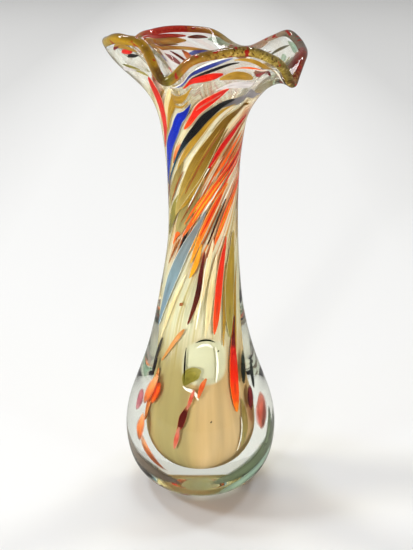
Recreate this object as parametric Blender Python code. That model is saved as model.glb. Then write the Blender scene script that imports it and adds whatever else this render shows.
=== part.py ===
"""Glass vase: a coloured inner bubble with glass canes pressed into it, cased in clear glass.

Heights run up +Z from the ground foot at the origin, and the front of the vase faces -Y.
The colour layer is the surface between the bubble and the clear casing. Every other surface
is set off from it, so the pieces stay a named clearance apart when any dimension changes.
"""

import math

import bmesh
import bpy
import numpy as np

# Driving dimensions, in metres.
HEIGHT = 0.304
BULB_RADIUS = 0.051
LIP_RADIUS = 0.0596
LIP_THICKNESS = 0.0054
BUBBLE_WALL = 0.0028
SEAM_CLEARANCE = 0.0003
CANE_DEPTH = 0.0012
CANE_EDGE_DEPTH = 0.0005
CANE_SINK = 0.00012
NECK_DRIFT = 0.0021
CANE_SIZE_SHARE = 0.0402
CANE_HALF_WIDTH = CANE_SIZE_SHARE * math.sqrt(HEIGHT * BULB_RADIUS)

# The clear outside, as (height share of HEIGHT, radius share of BULB_RADIUS).
OUTER_SHARES = (
    (0.000, 0.578), (0.005, 0.620), (0.020, 0.745), (0.043, 0.867), (0.072, 0.953),
    (0.109, 0.994), (0.151, 1.000), (0.197, 0.953), (0.250, 0.847), (0.312, 0.714),
    (0.395, 0.586), (0.493, 0.490), (0.586, 0.431), (0.678, 0.424), (0.757, 0.445),
    (0.822, 0.498),
)

# The colour layer, as (station share of HEIGHT, radius share of BULB_RADIUS, height share of HEIGHT).
LAYER_SHARES = (
    (0.000, 0.000, 0.069), (0.020, 0.118, 0.070), (0.039, 0.227, 0.073), (0.059, 0.325, 0.081),
    (0.079, 0.404, 0.093), (0.102, 0.463, 0.112), (0.128, 0.486, 0.135), (0.158, 0.486, 0.160),
    (0.197, 0.465, 0.197), (0.250, 0.429, 0.250), (0.312, 0.398, 0.312), (0.395, 0.369, 0.395),
    (0.493, 0.341, 0.493), (0.586, 0.325, 0.586), (0.678, 0.327, 0.678), (0.757, 0.357, 0.757),
    (0.822, 0.429, 0.822),
)

# The lip's edge all round, as (azimuth in degrees from the front, radius share of LIP_RADIUS,
# height share of HEIGHT). It stands up in four lobes and droops in four dips.
LIP_SHARES = (
    (10, 0.903, 0.984), (36, 0.919, 0.976), (54, 0.953, 0.936), (61, 0.966, 0.905),
    (69, 0.970, 0.922), (77, 0.983, 0.945), (97, 1.000, 0.965), (107, 0.997, 0.976),
    (117, 0.980, 0.984), (128, 0.946, 0.969), (152, 0.906, 0.934), (174, 0.909, 0.974),
    (188, 0.913, 0.981), (216, 0.913, 0.978), (227, 0.916, 0.969), (239, 0.919, 0.936),
    (251, 0.913, 0.952), (263, 0.913, 0.974), (289, 0.946, 0.990), (311, 0.946, 1.000),
    (325, 0.893, 0.976), (329, 0.879, 0.946), (334, 0.864, 0.924), (341, 0.866, 0.933),
    (350, 0.883, 0.963),
)

# The lean of the lip all round, as (azimuth, lean above the horizontal), both in degrees.
LIP_LEAN_DEG = (
    (0, 60), (18, 62), (40, 45), (61, -35), (80, 30), (97, 50), (117, 62), (140, 20), (152, -15),
    (165, 20), (188, 60), (216, 55), (239, -15), (255, 20), (276, 60), (301, 65), (319, 40),
    (334, -12), (345, 20),
)

# How far the flare still climbs with the neck, as (azimuth in degrees, share of its reach).
CLIMB_SHARES = (
    (0, 0.42), (18, 0.42), (61, 0.34), (97, 0.36), (152, 0.36), (190, 0.45), (240, 0.42),
    (290, 0.50), (320, 0.46), (334, 0.40),
)

# Each cane, as (name, colour, ((azimuth in degrees, station share of HEIGHT,
# half-width share of CANE_HALF_WIDTH), ...)). Stations past the flare's root run on to the lip.
CANES = (
    ("scarlet_edge_cane", "scarlet", (
        (-84, 0.776, 0.10), (-74, 0.803, 0.32), (-67, 0.826, 0.48), (-62, 0.849, 0.54),
        (-58, 0.872, 0.50), (-55, 0.895, 0.32), (-52, 0.914, 0.10),
    )),
    ("royal_blue_cane", "royal_blue", (
        (-96, 0.694, 0.12), (-84, 0.734, 0.38), (-70, 0.776, 0.58), (-54, 0.811, 0.52),
        (-40, 0.836, 0.40), (-28, 0.857, 0.24), (-20, 0.872, 0.10),
    )),
    ("flame_red_cane", "scarlet", (
        (-28, 0.824, 0.10), (-19, 0.840, 0.32), (-8, 0.860, 0.52), (4, 0.882, 0.64),
        (14, 0.900, 0.54), (22, 0.913, 0.12),
    )),
    ("black_cane", "black", (
        (-88, 0.694, 0.10), (-66, 0.734, 0.12), (-46, 0.770, 0.14), (-30, 0.796, 0.24),
        (-12, 0.824, 0.38), (5, 0.850, 0.46), (20, 0.871, 0.38), (34, 0.888, 0.12),
    )),
    ("olive_sash_cane", "olive", (
        (-56, 0.655, 0.12), (-38, 0.692, 0.48), (-20, 0.727, 0.72), (-2, 0.764, 0.78),
        (14, 0.798, 0.62), (32, 0.836, 0.42), (48, 0.861, 0.28), (62, 0.878, 0.12),
    )),
    ("crimson_cane", "crimson", (
        (9, 0.746, 0.10), (17, 0.761, 0.18), (27, 0.781, 0.30), (39, 0.801, 0.36),
        (51, 0.818, 0.32), (65, 0.839, 0.26), (80, 0.862, 0.10),
    )),
    ("vermilion_cane", "vermilion", (
        (-44, 0.599, 0.10), (-26, 0.628, 0.24), (-8, 0.658, 0.30), (10, 0.688, 0.36),
        (28, 0.714, 0.42), (46, 0.736, 0.42), (66, 0.758, 0.40), (90, 0.786, 0.36),
        (116, 0.819, 0.28), (140, 0.852, 0.12),
    )),
    ("slate_blue_cane", "slate_blue", (
        (-98, 0.375, 0.12), (-84, 0.431, 0.50), (-70, 0.485, 0.80), (-55, 0.530, 0.76),
        (-40, 0.567, 0.60), (-25, 0.599, 0.44), (-10, 0.628, 0.28), (5, 0.658, 0.10),
    )),
    ("amber_cane", "amber", (
        (-24, 0.546, 0.10), (-12, 0.586, 0.26), (1, 0.620, 0.34), (14, 0.650, 0.36),
        (27, 0.676, 0.32), (40, 0.697, 0.18), (50, 0.711, 0.10),
    )),
    ("umber_thread_cane", "umber", (
        (8, 0.587, 0.09), (20, 0.618, 0.12), (32, 0.648, 0.12), (47, 0.679, 0.09),
    )),
    ("ember_cane", "vermilion", (
        (22, 0.586, 0.10), (34, 0.615, 0.26), (48, 0.647, 0.36), (64, 0.673, 0.36),
        (84, 0.701, 0.32), (106, 0.734, 0.24), (126, 0.770, 0.10),
    )),
    ("maroon_blade", "maroon", (
        (-22, 0.411, 0.10), (-15, 0.438, 0.20), (-9, 0.464, 0.28), (-4.5, 0.493, 0.30),
        (-2.5, 0.523, 0.24), (0, 0.549, 0.16), (3, 0.572, 0.08),
    )),
    ("apricot_tail_cane", "amber", (
        (-72, 0.306, 0.10), (-58, 0.339, 0.18), (-46, 0.365, 0.24), (-36, 0.385, 0.24),
        (-28, 0.400, 0.10),
    )),
    ("poppy_blade", "scarlet", (
        (24, 0.388, 0.10), (28, 0.418, 0.34), (31.5, 0.454, 0.44), (34, 0.493, 0.46),
        (37, 0.526, 0.42), (41, 0.556, 0.32), (46, 0.582, 0.18), (49, 0.599, 0.08),
    )),
    ("olive_blade", "olive", (
        (56, 0.368, 0.12), (58, 0.414, 0.60), (60, 0.467, 0.80), (63, 0.520, 0.76),
        (67, 0.566, 0.48), (71, 0.605, 0.10),
    )),
    ("garnet_blade", "garnet", (
        (52, 0.194, 0.12), (54, 0.224, 0.48), (56, 0.257, 0.64), (58, 0.296, 0.64),
        (60, 0.332, 0.50), (63, 0.362, 0.34), (67, 0.388, 0.20), (71, 0.414, 0.10),
    )),
    ("oxblood_fleck", "maroon", (
        (-30, 0.161, 0.10), (-26, 0.178, 0.32), (-23.5, 0.197, 0.40), (-20, 0.214, 0.26),
        (-16, 0.230, 0.10),
    )),
    ("coral_fleck", "vermilion", (
        (-3, 0.243, 0.10), (0, 0.260, 0.24), (4, 0.276, 0.28), (9, 0.289, 0.10),
    )),
    ("copper_blade", "amber", (
        (-92, 0.138, 0.12), (-90, 0.171, 0.38), (-87, 0.211, 0.46), (-83, 0.250, 0.34),
        (-78, 0.283, 0.12),
    )),
    ("soot_thread_cane", "black", (
        (-104, 0.257, 0.10), (-94, 0.299, 0.20), (-85, 0.332, 0.20), (-77, 0.359, 0.09),
    )),
)

# Where the flare starts and how its walls leave the neck and meet the lip.
ROOT_SHARE = OUTER_SHARES[-1][0]
ROOT_LEAN_DEG = 79.0
LIP_PULL_SHARE = 0.33

# Where the neck starts and stops to wander off the foot's axis.
DRIFT_START_SHARE = 0.41
DRIFT_END_SHARE = 0.61

# Rows of each surface, as shares of HEIGHT up to the root and as shares of the flare after it.
LAYER_ROW_SHARES = (0.022, 0.042, 0.061, 0.080, 0.102, 0.128, 0.158, 0.197, 0.25, 0.31,
                    0.38, 0.45, 0.52, 0.59, 0.66, 0.72, 0.775, ROOT_SHARE)
CAVITY_ROW_SHARES = (0.030, 0.058, 0.085, 0.115, 0.158, 0.25, 0.37, 0.48, 0.59, 0.68, 0.76, ROOT_SHARE)
OUTER_ROW_SHARES = (0.0, 0.0053, 0.020, 0.043, 0.072, 0.108, 0.15, 0.195, 0.245, 0.305,
                    0.38, 0.46, 0.54, 0.61, 0.67, 0.72, 0.762, 0.797, ROOT_SHARE)
FLARE_ROW_SHARES = (0.10, 0.21, 0.32, 0.43, 0.54, 0.65, 0.77, 0.89, 1.0)
LIP_ROW_SHARES = (0.10, 0.25)
AZIMUTH_STEPS = 64
CANE_STEPS = 11

# Half of the small steps over which the layer's directions are measured.
STEP_DEG = 0.05
STEP_SHARE = 0.0002

# A cane's section, as (side share of the half-width, level): 0 is the flat top, 1 the edge and
# 2 the belly. A cane thinner than FULL_DEPTH_SHARE of CANE_HALF_WIDTH is shallower, down to half.
CANE_SECTION_SHARES = (
    (-1.0, 0), (-0.5, 0), (0.0, 0), (0.5, 0), (1.0, 0), (1.0, 1), (0.55, 2), (-0.55, 2), (-1.0, 1),
)
FULL_DEPTH_SHARE = 0.25
LEAST_DEPTH_SHARE = 0.5
GLASS_IOR = 1.5

# Linear colour with alpha, roughness and metallic of each glass.
GLASSES = {
    "clear": ((0.86, 0.90, 0.86, 0.30), 0.03, 0.0),
    "ochre": ((0.62, 0.45, 0.19, 0.75), 0.08, 0.0),
    "scarlet": ((0.72, 0.035, 0.012, 1.0), 0.08, 0.0),
    "vermilion": ((0.70, 0.12, 0.02, 1.0), 0.08, 0.0),
    "crimson": ((0.38, 0.012, 0.012, 1.0), 0.08, 0.0),
    "garnet": ((0.45, 0.03, 0.015, 1.0), 0.08, 0.0),
    "maroon": ((0.12, 0.012, 0.012, 1.0), 0.08, 0.0),
    "amber": ((0.65, 0.26, 0.04, 1.0), 0.08, 0.0),
    "olive": ((0.25, 0.17, 0.03, 1.0), 0.08, 0.0),
    "umber": ((0.09, 0.035, 0.02, 1.0), 0.08, 0.0),
    "black": ((0.012, 0.012, 0.018, 1.0), 0.08, 0.0),
    "royal_blue": ((0.015, 0.03, 0.35, 1.0), 0.08, 0.0),
    "slate_blue": ((0.20, 0.26, 0.30, 1.0), 0.08, 0.0),
}


def eased(at, knots, values):
    """Read a smooth curve through the knots; the slope at each knot follows its neighbours."""
    knots = np.asarray(knots, float)
    values = np.asarray(values, float)
    slopes = np.gradient(values, knots)
    cell = np.clip(np.searchsorted(knots, at, side="right") - 1, 0, len(knots) - 2)
    span = knots[cell + 1] - knots[cell]
    u = (at - knots[cell]) / span
    start = (2 * u**3 - 3 * u**2 + 1) * values[cell] + (u**3 - 2 * u**2 + u) * span * slopes[cell]
    end = (3 * u**2 - 2 * u**3) * values[cell + 1] + (u**3 - u**2) * span * slopes[cell + 1]
    return start + end


def eased_round(azimuth, rows, column):
    """Read one column of a table that goes all round the vase, at azimuths in degrees."""
    table = np.array(rows, float)
    turned = np.concatenate([table[:, 0] - 360, table[:, 0], table[:, 0] + 360])
    return eased(azimuth, turned, np.tile(table[:, column], 3))


def lip_edge(azimuth):
    """Radius and height of the lip's edge in metres, climbing share and lean in radians."""
    radius = eased_round(azimuth, LIP_SHARES, 1) * LIP_RADIUS
    height = eased_round(azimuth, LIP_SHARES, 2) * HEIGHT
    climb = eased_round(azimuth, CLIMB_SHARES, 1)
    lean = np.radians(eased_round(azimuth, LIP_LEAN_DEG, 1))
    return radius, height, climb, lean


def neck_drift(height):
    """Sideways shift of the centre line towards +X at a height."""
    share = (height / HEIGHT - DRIFT_START_SHARE) / (DRIFT_END_SHARE - DRIFT_START_SHARE)
    share = np.clip(share, 0, 1)
    return NECK_DRIFT * share * share * (3 - 2 * share)


def placed(azimuth, radius, height):
    """Points from azimuth, radius and height, round the drifting centre line."""
    turn = np.radians(azimuth)
    x = radius * np.sin(turn) + neck_drift(height)
    y = -radius * np.cos(turn)
    return np.stack([x, y, height + 0 * x], -1)


def layer_profile(station):
    """Radius and height of the colour layer below the flare."""
    table = np.array(LAYER_SHARES)
    share = station / HEIGHT
    return (eased(share, table[:, 0], table[:, 1]) * BULB_RADIUS,
            eased(share, table[:, 0], table[:, 2]) * HEIGHT)


def flare_profile(azimuth, share):
    """Radius and height of the colour layer in the flare, a curve from the root to the lip."""
    root_radius, root_height = layer_profile(ROOT_SHARE * HEIGHT)
    edge_radius, edge_height, climb, lean = lip_edge(azimuth)
    end_radius = edge_radius - np.cos(lean) * LIP_THICKNESS / 2
    end_height = edge_height - np.sin(lean) * LIP_THICKNESS / 2
    reach = np.hypot(end_radius - root_radius, end_height - root_height)
    root_lean = math.radians(ROOT_LEAN_DEG)
    pull_radius = root_radius + math.cos(root_lean) * reach * climb
    pull_height = root_height + math.sin(root_lean) * reach * climb
    back_radius = end_radius - np.cos(lean) * reach * LIP_PULL_SHARE
    back_height = end_height - np.sin(lean) * reach * LIP_PULL_SHARE
    a, b, c, d = (1 - share)**3, 3 * share * (1 - share)**2, 3 * share**2 * (1 - share), share**3
    radius = a * root_radius + b * pull_radius + c * back_radius + d * end_radius
    height = a * root_height + b * pull_height + c * back_height + d * end_height
    return radius, height


def layer_point(azimuth, station):
    """Points of the colour layer; stations past the root run up the flare."""
    azimuth, station = np.broadcast_arrays(np.asarray(azimuth, float), np.asarray(station, float))
    root = ROOT_SHARE * HEIGHT
    low_radius, low_height = layer_profile(np.minimum(station, root))
    flare_share = np.clip((station - root) / (HEIGHT - root), 0, None)
    high_radius, high_height = flare_profile(azimuth, flare_share)
    low = station <= root
    return placed(azimuth, np.where(low, low_radius, high_radius), np.where(low, low_height, high_height))


def layer_frame(azimuth, station):
    """Points of the colour layer, outward normals, and metres moved per degree and per station metre."""
    step = STEP_SHARE * HEIGHT
    round_way = layer_point(azimuth + STEP_DEG, station) - layer_point(azimuth - STEP_DEG, station)
    round_way = round_way / (2 * STEP_DEG)
    low = np.maximum(station - step, 0)
    up_way = layer_point(azimuth, station + step) - layer_point(azimuth, low)
    up_way = up_way / (station + step - low)[..., None]
    normal = np.cross(round_way, up_way)
    normal = normal / np.linalg.norm(normal, axis=-1, keepdims=True)
    return layer_point(azimuth, station), normal, round_way, up_way


def flare_station(share):
    """Station at a share of the flare."""
    root = ROOT_SHARE * HEIGHT
    return root + share * (HEIGHT - root)


def ring_azimuths():
    """Azimuths of every ring's vertices."""
    return np.arange(AZIMUTH_STEPS) * 360 / AZIMUTH_STEPS


def offset_ring(station, offset):
    """Ring of points set off outwards from the colour layer."""
    azimuth = ring_azimuths()
    point, normal, _, _ = layer_frame(azimuth, np.full(AZIMUTH_STEPS, station))
    return point + normal * offset


def lip_ring(offset):
    """Ring on the half-round lip, at a distance outwards from the colour layer."""
    azimuth = ring_azimuths()
    point, normal, _, up_way = layer_frame(azimuth, np.full(AZIMUTH_STEPS, flare_station(1.0)))
    along = up_way / np.linalg.norm(up_way, axis=-1, keepdims=True)
    half = LIP_THICKNESS / 2
    beyond = math.sqrt(max(half**2 - (offset - lip_middle())**2, 0))
    return point + normal * offset + along * beyond


def lip_middle():
    """Offset of the lip's middle from the colour layer."""
    return LIP_THICKNESS / 2 - BUBBLE_WALL


def casing_wall(share):
    """Offset of the clear outside from the colour layer, at a share of the flare."""
    root_wall = (OUTER_SHARES[-1][1] - LAYER_SHARES[-1][1]) * BULB_RADIUS
    lip_wall = LIP_THICKNESS - BUBBLE_WALL
    return root_wall + (lip_wall - root_wall) * math.sin(share * math.pi / 2)


def outer_ring(share):
    """Ring of the clear outside below the flare."""
    table = np.array(OUTER_SHARES)
    radius = eased(share, table[:, 0], table[:, 1]) * BULB_RADIUS
    return placed(ring_azimuths(), radius, np.full(AZIMUTH_STEPS, share * HEIGHT))


def pole(height):
    """Point on the axis."""
    return np.array([[0.0, 0.0, height]])


def closed_mesh(name, rings):
    """Mesh of a closed stack of rings; the first and the last ring are single points.

    Every four-sided patch is split the same way up the wall, whichever way the stack runs, so
    that two parallel walls keep their clearance where the patches are twisted.
    """
    mesh = bpy.data.meshes.new(name)
    shape = bmesh.new()
    rows = [[shape.verts.new(point) for point in ring] for ring in rings]
    heights = [np.mean([point[2] for point in ring]) for ring in rings]
    for k, (low, high) in enumerate(zip(rows, rows[1:])):
        if heights[k] > heights[k + 1]:
            low, high = high, low
        for i in range(AZIMUTH_STEPS):
            j = i + 1
            a, b = low[i % len(low)], low[j % len(low)]
            c, d = high[j % len(high)], high[i % len(high)]
            for corners in ((a, b, c), (a, c, d)):
                if len(set(corners)) == 3:
                    shape.faces.new(corners)
    bmesh.ops.recalc_face_normals(shape, faces=shape.faces)
    shape.to_mesh(mesh)
    shape.free()
    return mesh


def casing_rings():
    """The clear casing, from the foot up the outside, over the lip and down the inside."""
    rings = [pole(0.0)]
    rings += [outer_ring(share) for share in OUTER_ROW_SHARES]
    rings += [offset_ring(flare_station(share), casing_wall(share)) for share in FLARE_ROW_SHARES]
    top = casing_wall(1.0)
    rings += [lip_ring(top - share * LIP_THICKNESS) for share in LIP_ROW_SHARES]
    rings.append(lip_ring(SEAM_CLEARANCE))
    rings += [offset_ring(flare_station(share), SEAM_CLEARANCE) for share in reversed(FLARE_ROW_SHARES)]
    rings += [offset_ring(share * HEIGHT, SEAM_CLEARANCE) for share in reversed(LAYER_ROW_SHARES)]
    rings.append(pole(LAYER_SHARES[0][2] * HEIGHT - SEAM_CLEARANCE))
    return rings


def bubble_rings():
    """The coloured bubble, from its tip up the colour layer, over the lip and down the hollow."""
    rings = [pole(LAYER_SHARES[0][2] * HEIGHT)]
    rings += [offset_ring(share * HEIGHT, 0.0) for share in LAYER_ROW_SHARES]
    rings += [offset_ring(flare_station(share), 0.0) for share in FLARE_ROW_SHARES]
    rings.append(lip_ring(0.0))
    rings += [lip_ring(share * LIP_THICKNESS - BUBBLE_WALL) for share in reversed(LIP_ROW_SHARES)]
    rings += [offset_ring(flare_station(share), -BUBBLE_WALL) for share in reversed(FLARE_ROW_SHARES)]
    rings += [offset_ring(share * HEIGHT, -BUBBLE_WALL) for share in reversed(CAVITY_ROW_SHARES)]
    rings.append(pole(LAYER_SHARES[0][2] * HEIGHT + BUBBLE_WALL))
    return rings


def cane_sections(stations, growth):
    """Cross-sections of one cane along its path, each a closed loop of points.

    The flat side lies just under the colour layer and the belly points at the hollow. A growth
    above zero gives the pocket that the cane is pressed into: wider, deeper, longer and open.
    """
    table = np.array(stations)
    knots = np.arange(len(table), dtype=float)
    at = np.linspace(0, len(table) - 1, CANE_STEPS)
    azimuth = eased(at, knots, table[:, 0])
    station = eased(at, knots, table[:, 1]) * HEIGHT
    half = np.maximum(eased(at, knots, table[:, 2]), table[:, 2].min()) * CANE_HALF_WIDTH
    _, _, round_way, up_way = layer_frame(azimuth, station)
    per_deg = np.linalg.norm(round_way, axis=-1)
    per_up = np.linalg.norm(up_way, axis=-1)
    way_round = np.gradient(azimuth) * per_deg
    way_up = np.gradient(station) * per_up
    length = np.hypot(way_round, way_up)
    way_round, way_up = way_round / length, way_up / length
    ends = np.zeros(CANE_STEPS)
    ends[0], ends[-1] = -growth, growth
    azimuth = azimuth + way_round * ends / per_deg
    station = station + way_up * ends / per_up
    fatness = np.clip(half / (CANE_HALF_WIDTH * FULL_DEPTH_SHARE), LEAST_DEPTH_SHARE, 1)
    half = half + growth
    top = -CANE_SINK if growth == 0 else CANE_DEPTH
    sections = []
    for k in range(CANE_STEPS):
        loop = []
        for side, level in CANE_SECTION_SHARES:
            across = side * half[k]
            point, normal, _, _ = layer_frame(azimuth[k] - way_up[k] * across / per_deg[k],
                                              station[k] + way_round[k] * across / per_up[k])
            depths = (top, -CANE_SINK - CANE_EDGE_DEPTH * fatness[k] - growth,
                      -CANE_SINK - CANE_DEPTH * fatness[k] - growth)
            loop.append(point + normal * depths[level])
        sections.append(loop)
    return sections


def bar_mesh(name, sections_of_bars):
    """Mesh of one or more closed bars, each a run of cross-sections with flat ends."""
    mesh = bpy.data.meshes.new(name)
    shape = bmesh.new()
    for sections in sections_of_bars:
        rows = [[shape.verts.new(point) for point in loop] for loop in sections]
        count = len(rows[0])
        for low, high in zip(rows, rows[1:]):
            for i in range(count):
                j = (i + 1) % count
                shape.faces.new([low[i], low[j], high[j]])
                shape.faces.new([low[i], high[j], high[i]])
        shape.faces.new(rows[0])
        shape.faces.new(rows[-1])
    bmesh.ops.recalc_face_normals(shape, faces=shape.faces)
    shape.to_mesh(mesh)
    shape.free()
    return mesh


def glass_material(colour):
    """Principled material of one glass."""
    tint, roughness, metallic = GLASSES[colour]
    material = bpy.data.materials.new(colour + "_glass")
    material.use_nodes = True
    shader = material.node_tree.nodes["Principled BSDF"]
    shader.inputs["Base Color"].default_value = (*tint[:3], 1.0)
    shader.inputs["Alpha"].default_value = tint[3]
    shader.inputs["Roughness"].default_value = roughness
    shader.inputs["Metallic"].default_value = metallic
    shader.inputs["IOR"].default_value = GLASS_IOR
    material.diffuse_color = tint
    return material


def add_object(mesh, collection, material=None):
    """Object that carries a mesh and, for a piece of the vase, its material."""
    piece = bpy.data.objects.new(mesh.name, mesh)
    collection.objects.link(piece)
    if material is not None:
        mesh.materials.append(material)
        for face in mesh.polygons:
            face.use_smooth = True
    return piece


def build():
    """Build the casing, the bubble with its pockets, and every cane."""
    for piece in list(bpy.data.objects):
        bpy.data.objects.remove(piece, do_unlink=True)
    vase = bpy.data.collections.new("glass_vase")
    cutters = bpy.data.collections.new("cutters")
    bpy.context.scene.collection.children.link(vase)
    bpy.context.scene.collection.children.link(cutters)
    add_object(closed_mesh("clear_casing", casing_rings()), vase, glass_material("clear"))
    bubble = add_object(closed_mesh("inner_bubble", bubble_rings()), vase, glass_material("ochre"))
    pockets = [cane_sections(stations, SEAM_CLEARANCE) for _, _, stations in CANES]
    cutter = add_object(bar_mesh("cane_pockets", pockets), cutters)
    cutter.hide_render = True
    cutter.display_type = "WIRE"
    pressing = bubble.modifiers.new("cane_pockets", "BOOLEAN")
    pressing.operation = "DIFFERENCE"
    pressing.solver = "EXACT"
    pressing.object = cutter
    pressing.use_self = True
    made = {}
    for name, colour, stations in CANES:
        if colour not in made:
            made[colour] = glass_material(colour)
        add_object(bar_mesh(name, [cane_sections(stations, 0.0)]), vase, made[colour])


build()
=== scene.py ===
"""Looks of the glass vase: clear casing, ochre lining, coloured canes and a ruffled lip."""

import math

import bmesh
import bpy
import numpy as np
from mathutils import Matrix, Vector


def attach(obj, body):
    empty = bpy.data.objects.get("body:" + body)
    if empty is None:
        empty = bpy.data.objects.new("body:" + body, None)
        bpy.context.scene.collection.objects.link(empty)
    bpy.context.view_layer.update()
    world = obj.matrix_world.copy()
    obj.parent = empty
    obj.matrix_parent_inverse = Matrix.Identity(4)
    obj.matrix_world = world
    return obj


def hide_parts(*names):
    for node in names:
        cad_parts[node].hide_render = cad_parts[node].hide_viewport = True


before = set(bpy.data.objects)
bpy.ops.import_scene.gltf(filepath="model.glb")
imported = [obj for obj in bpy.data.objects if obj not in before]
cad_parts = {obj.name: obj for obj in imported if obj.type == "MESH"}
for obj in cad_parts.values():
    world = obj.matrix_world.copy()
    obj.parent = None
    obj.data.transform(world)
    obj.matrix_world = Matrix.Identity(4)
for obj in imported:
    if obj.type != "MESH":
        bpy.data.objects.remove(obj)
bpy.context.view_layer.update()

# The camera stands at the photograph's place: about half a metre in front of the vase and a
# little above its lip, looking down. It is turned a touch to the right, so that the vase
# stands left of the middle.
CAMERA_DISTANCE = 0.485
CAMERA_HEIGHT = 0.3617
CAMERA_DIP_DEG = 23.5
CAMERA_TURN_DEG = 0.486
FRAME_HEIGHT_PX = 550
FOCAL_LENGTH_PX = 826
SENSOR_HEIGHT_MM = 24.0
NEAREST_SEEN = 0.01

camera_data = bpy.data.cameras.new("camera")
camera_data.sensor_fit = "VERTICAL"
camera_data.sensor_height = SENSOR_HEIGHT_MM
camera_data.lens = SENSOR_HEIGHT_MM * FOCAL_LENGTH_PX / FRAME_HEIGHT_PX
camera_data.clip_start = NEAREST_SEEN
camera = bpy.data.objects.new("camera", camera_data)
bpy.context.scene.collection.objects.link(camera)
camera.location = (0, -CAMERA_DISTANCE, CAMERA_HEIGHT)
camera.rotation_euler = (math.radians(90 - CAMERA_DIP_DEG), 0, -math.radians(CAMERA_TURN_DEG))
bpy.context.scene.camera = camera
bpy.context.scene.view_settings.view_transform = "Standard"

# The studio: a pale paper floor that runs back out of sight. It takes the shadows, and its colour is a
# painted pool of light: lightest round the vase and greyer away from it, most of all at the sides. The bench
# in front of the paper is darker, and the glass mirrors it. The floor lies a hair below the foot, so that the
# two flat faces don't fall together.
FLOOR_SIZE = 14.0
FLOOR_DROP = 0.0003
# Oval of the painted pool of light, and the paper's colours from outside it to its middle.
PAINTED_LIGHT_OVAL = (0.46, 6.5)
BENCH_FADE = (-0.45, -0.11)
PAPER_NEAR = "#eaeae9"
PAPER_BETWEEN_PAINTED_SHADE = "#dfdfde"
PAPER_SIDE_PAINTED_SHADE = "#d6d6d5"
PAPER_MIRRORED = "#989694"
BENCH = "#77746f"


def linear(hex_colour):
    """Linear colour of an sRGB hex value."""
    values = [int(hex_colour[i:i + 2], 16) / 255 for i in (1, 3, 5)]
    return (*[v / 12.92 if v <= 0.04045 else ((v + 0.055) / 1.055)**2.4 for v in values], 1.0)


def pick_input(node, name):
    """The enabled input of a node with this name or number."""
    if isinstance(name, int):
        return node.inputs[name]
    return next(socket for socket in node.inputs if socket.name == name and socket.enabled)


def add_node(tree, kind, settings=None, links=None):
    """Add a node, set its properties and sockets, and link other sockets into it."""
    node = tree.nodes.new(kind)
    for name, value in (settings or {}).items():
        if isinstance(name, str) and hasattr(node, name):
            setattr(node, name, value)
        else:
            pick_input(node, name).default_value = value
    for name, socket in (links or {}).items():
        tree.links.new(socket, pick_input(node, name))
    return node


def new_material(name):
    """Empty node material, its tree and its output node."""
    material = bpy.data.materials.new(name)
    material.use_nodes = True
    tree = material.node_tree
    tree.nodes.clear()
    return material, tree, tree.nodes.new("ShaderNodeOutputMaterial")


def set_ramp(ramp_node, stops):
    """Give a colour ramp its stops, each a place and a hex colour."""
    ramp = ramp_node.color_ramp
    while len(ramp.elements) > 1:
        ramp.elements.remove(ramp.elements[-1])
    ramp.elements[0].position = stops[0][0]
    ramp.elements[0].color = linear(stops[0][1])
    for place, colour in stops[1:]:
        ramp.elements.new(place).color = linear(colour)


bpy.ops.mesh.primitive_plane_add(size=FLOOR_SIZE, location=(0, 0, -FLOOR_DROP))
floor = bpy.context.object
floor.name = "paper_floor"

# Matt paper has next to no shine. Besides the real light and shadow, its colour carries the painted pool of
# light round the vase. The glass mirrors it darker than it is, which keeps the colours behind the glass deep.
paper, tree, out = new_material("matt_paper_rolled_out")
place = add_node(tree, "ShaderNodeTexCoord")
split = add_node(tree, "ShaderNodeSeparateXYZ", links={0: place.outputs["Object"]})
# Painted light: the paper's colour is lightest in an oval round the vase and greyer outside it.
oval = add_node(tree, "ShaderNodeMapping", {"Scale": (1 / PAINTED_LIGHT_OVAL[0], 1 / PAINTED_LIGHT_OVAL[1], 1)},
                {"Vector": place.outputs["Object"]})
painted_light_falloff = add_node(tree, "ShaderNodeTexGradient", {"gradient_type": "SPHERICAL"},
                   {"Vector": oval.outputs[0]})
painted_light_tone = add_node(tree, "ShaderNodeValToRGB", links={0: painted_light_falloff.outputs["Fac"]})
set_ramp(painted_light_tone, ((0.0, PAPER_SIDE_PAINTED_SHADE), (0.2, PAPER_BETWEEN_PAINTED_SHADE), (0.5, PAPER_NEAR)))
depth = add_node(tree, "ShaderNodeMapRange", {"From Min": BENCH_FADE[0], "From Max": BENCH_FADE[1]},
                 {"Value": split.outputs["Y"]})
tone = add_node(tree, "ShaderNodeMix", {"data_type": "RGBA", "A": linear(BENCH)},
                {"Factor": depth.outputs[0], "B": painted_light_tone.outputs[0]})
seen = add_node(tree, "ShaderNodeLightPath")
mirrored = add_node(tree, "ShaderNodeMath", {"operation": "SUBTRACT", "use_clamp": True},
                    {0: seen.outputs["Is Glossy Ray"], 1: seen.outputs["Is Transmission Ray"]})
tone = add_node(tree, "ShaderNodeMix", {"data_type": "RGBA", "B": linear(PAPER_MIRRORED)},
                {"Factor": mirrored.outputs[0], "A": tone.outputs["Result"]})
sheet = add_node(tree, "ShaderNodeBsdfPrincipled", {"Roughness": 0.9, "Specular IOR Level": 0.1},
                 {"Base Color": tone.outputs["Result"]})
tree.links.new(sheet.outputs[0], out.inputs["Surface"])
floor.data.materials.append(paper)


# The light: a soft box above, two behind at the sides, whose shadows cross at the foot, one far
# out to the left for the long shadow, and one for the back of the paper. Two low cards light the
# colours from the front. The small window and the strip are what the glass mirrors.
def add_softbox(name, place, target, size, watts, mirrored=True):
    """Add a soft rectangular lamp that faces a point; the glass can be kept from showing it."""
    data = bpy.data.lights.new(name, "AREA")
    data.shape = "RECTANGLE"
    data.size, data.size_y = size
    data.energy = watts
    lamp = bpy.data.objects.new(name, data)
    bpy.context.scene.collection.objects.link(lamp)
    lamp.location = place
    lamp.visible_glossy = mirrored
    lamp.visible_transmission = mirrored
    aim = Vector(target) - Vector(place)
    lamp.rotation_euler = aim.to_track_quat("-Z", "Y").to_euler()


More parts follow.
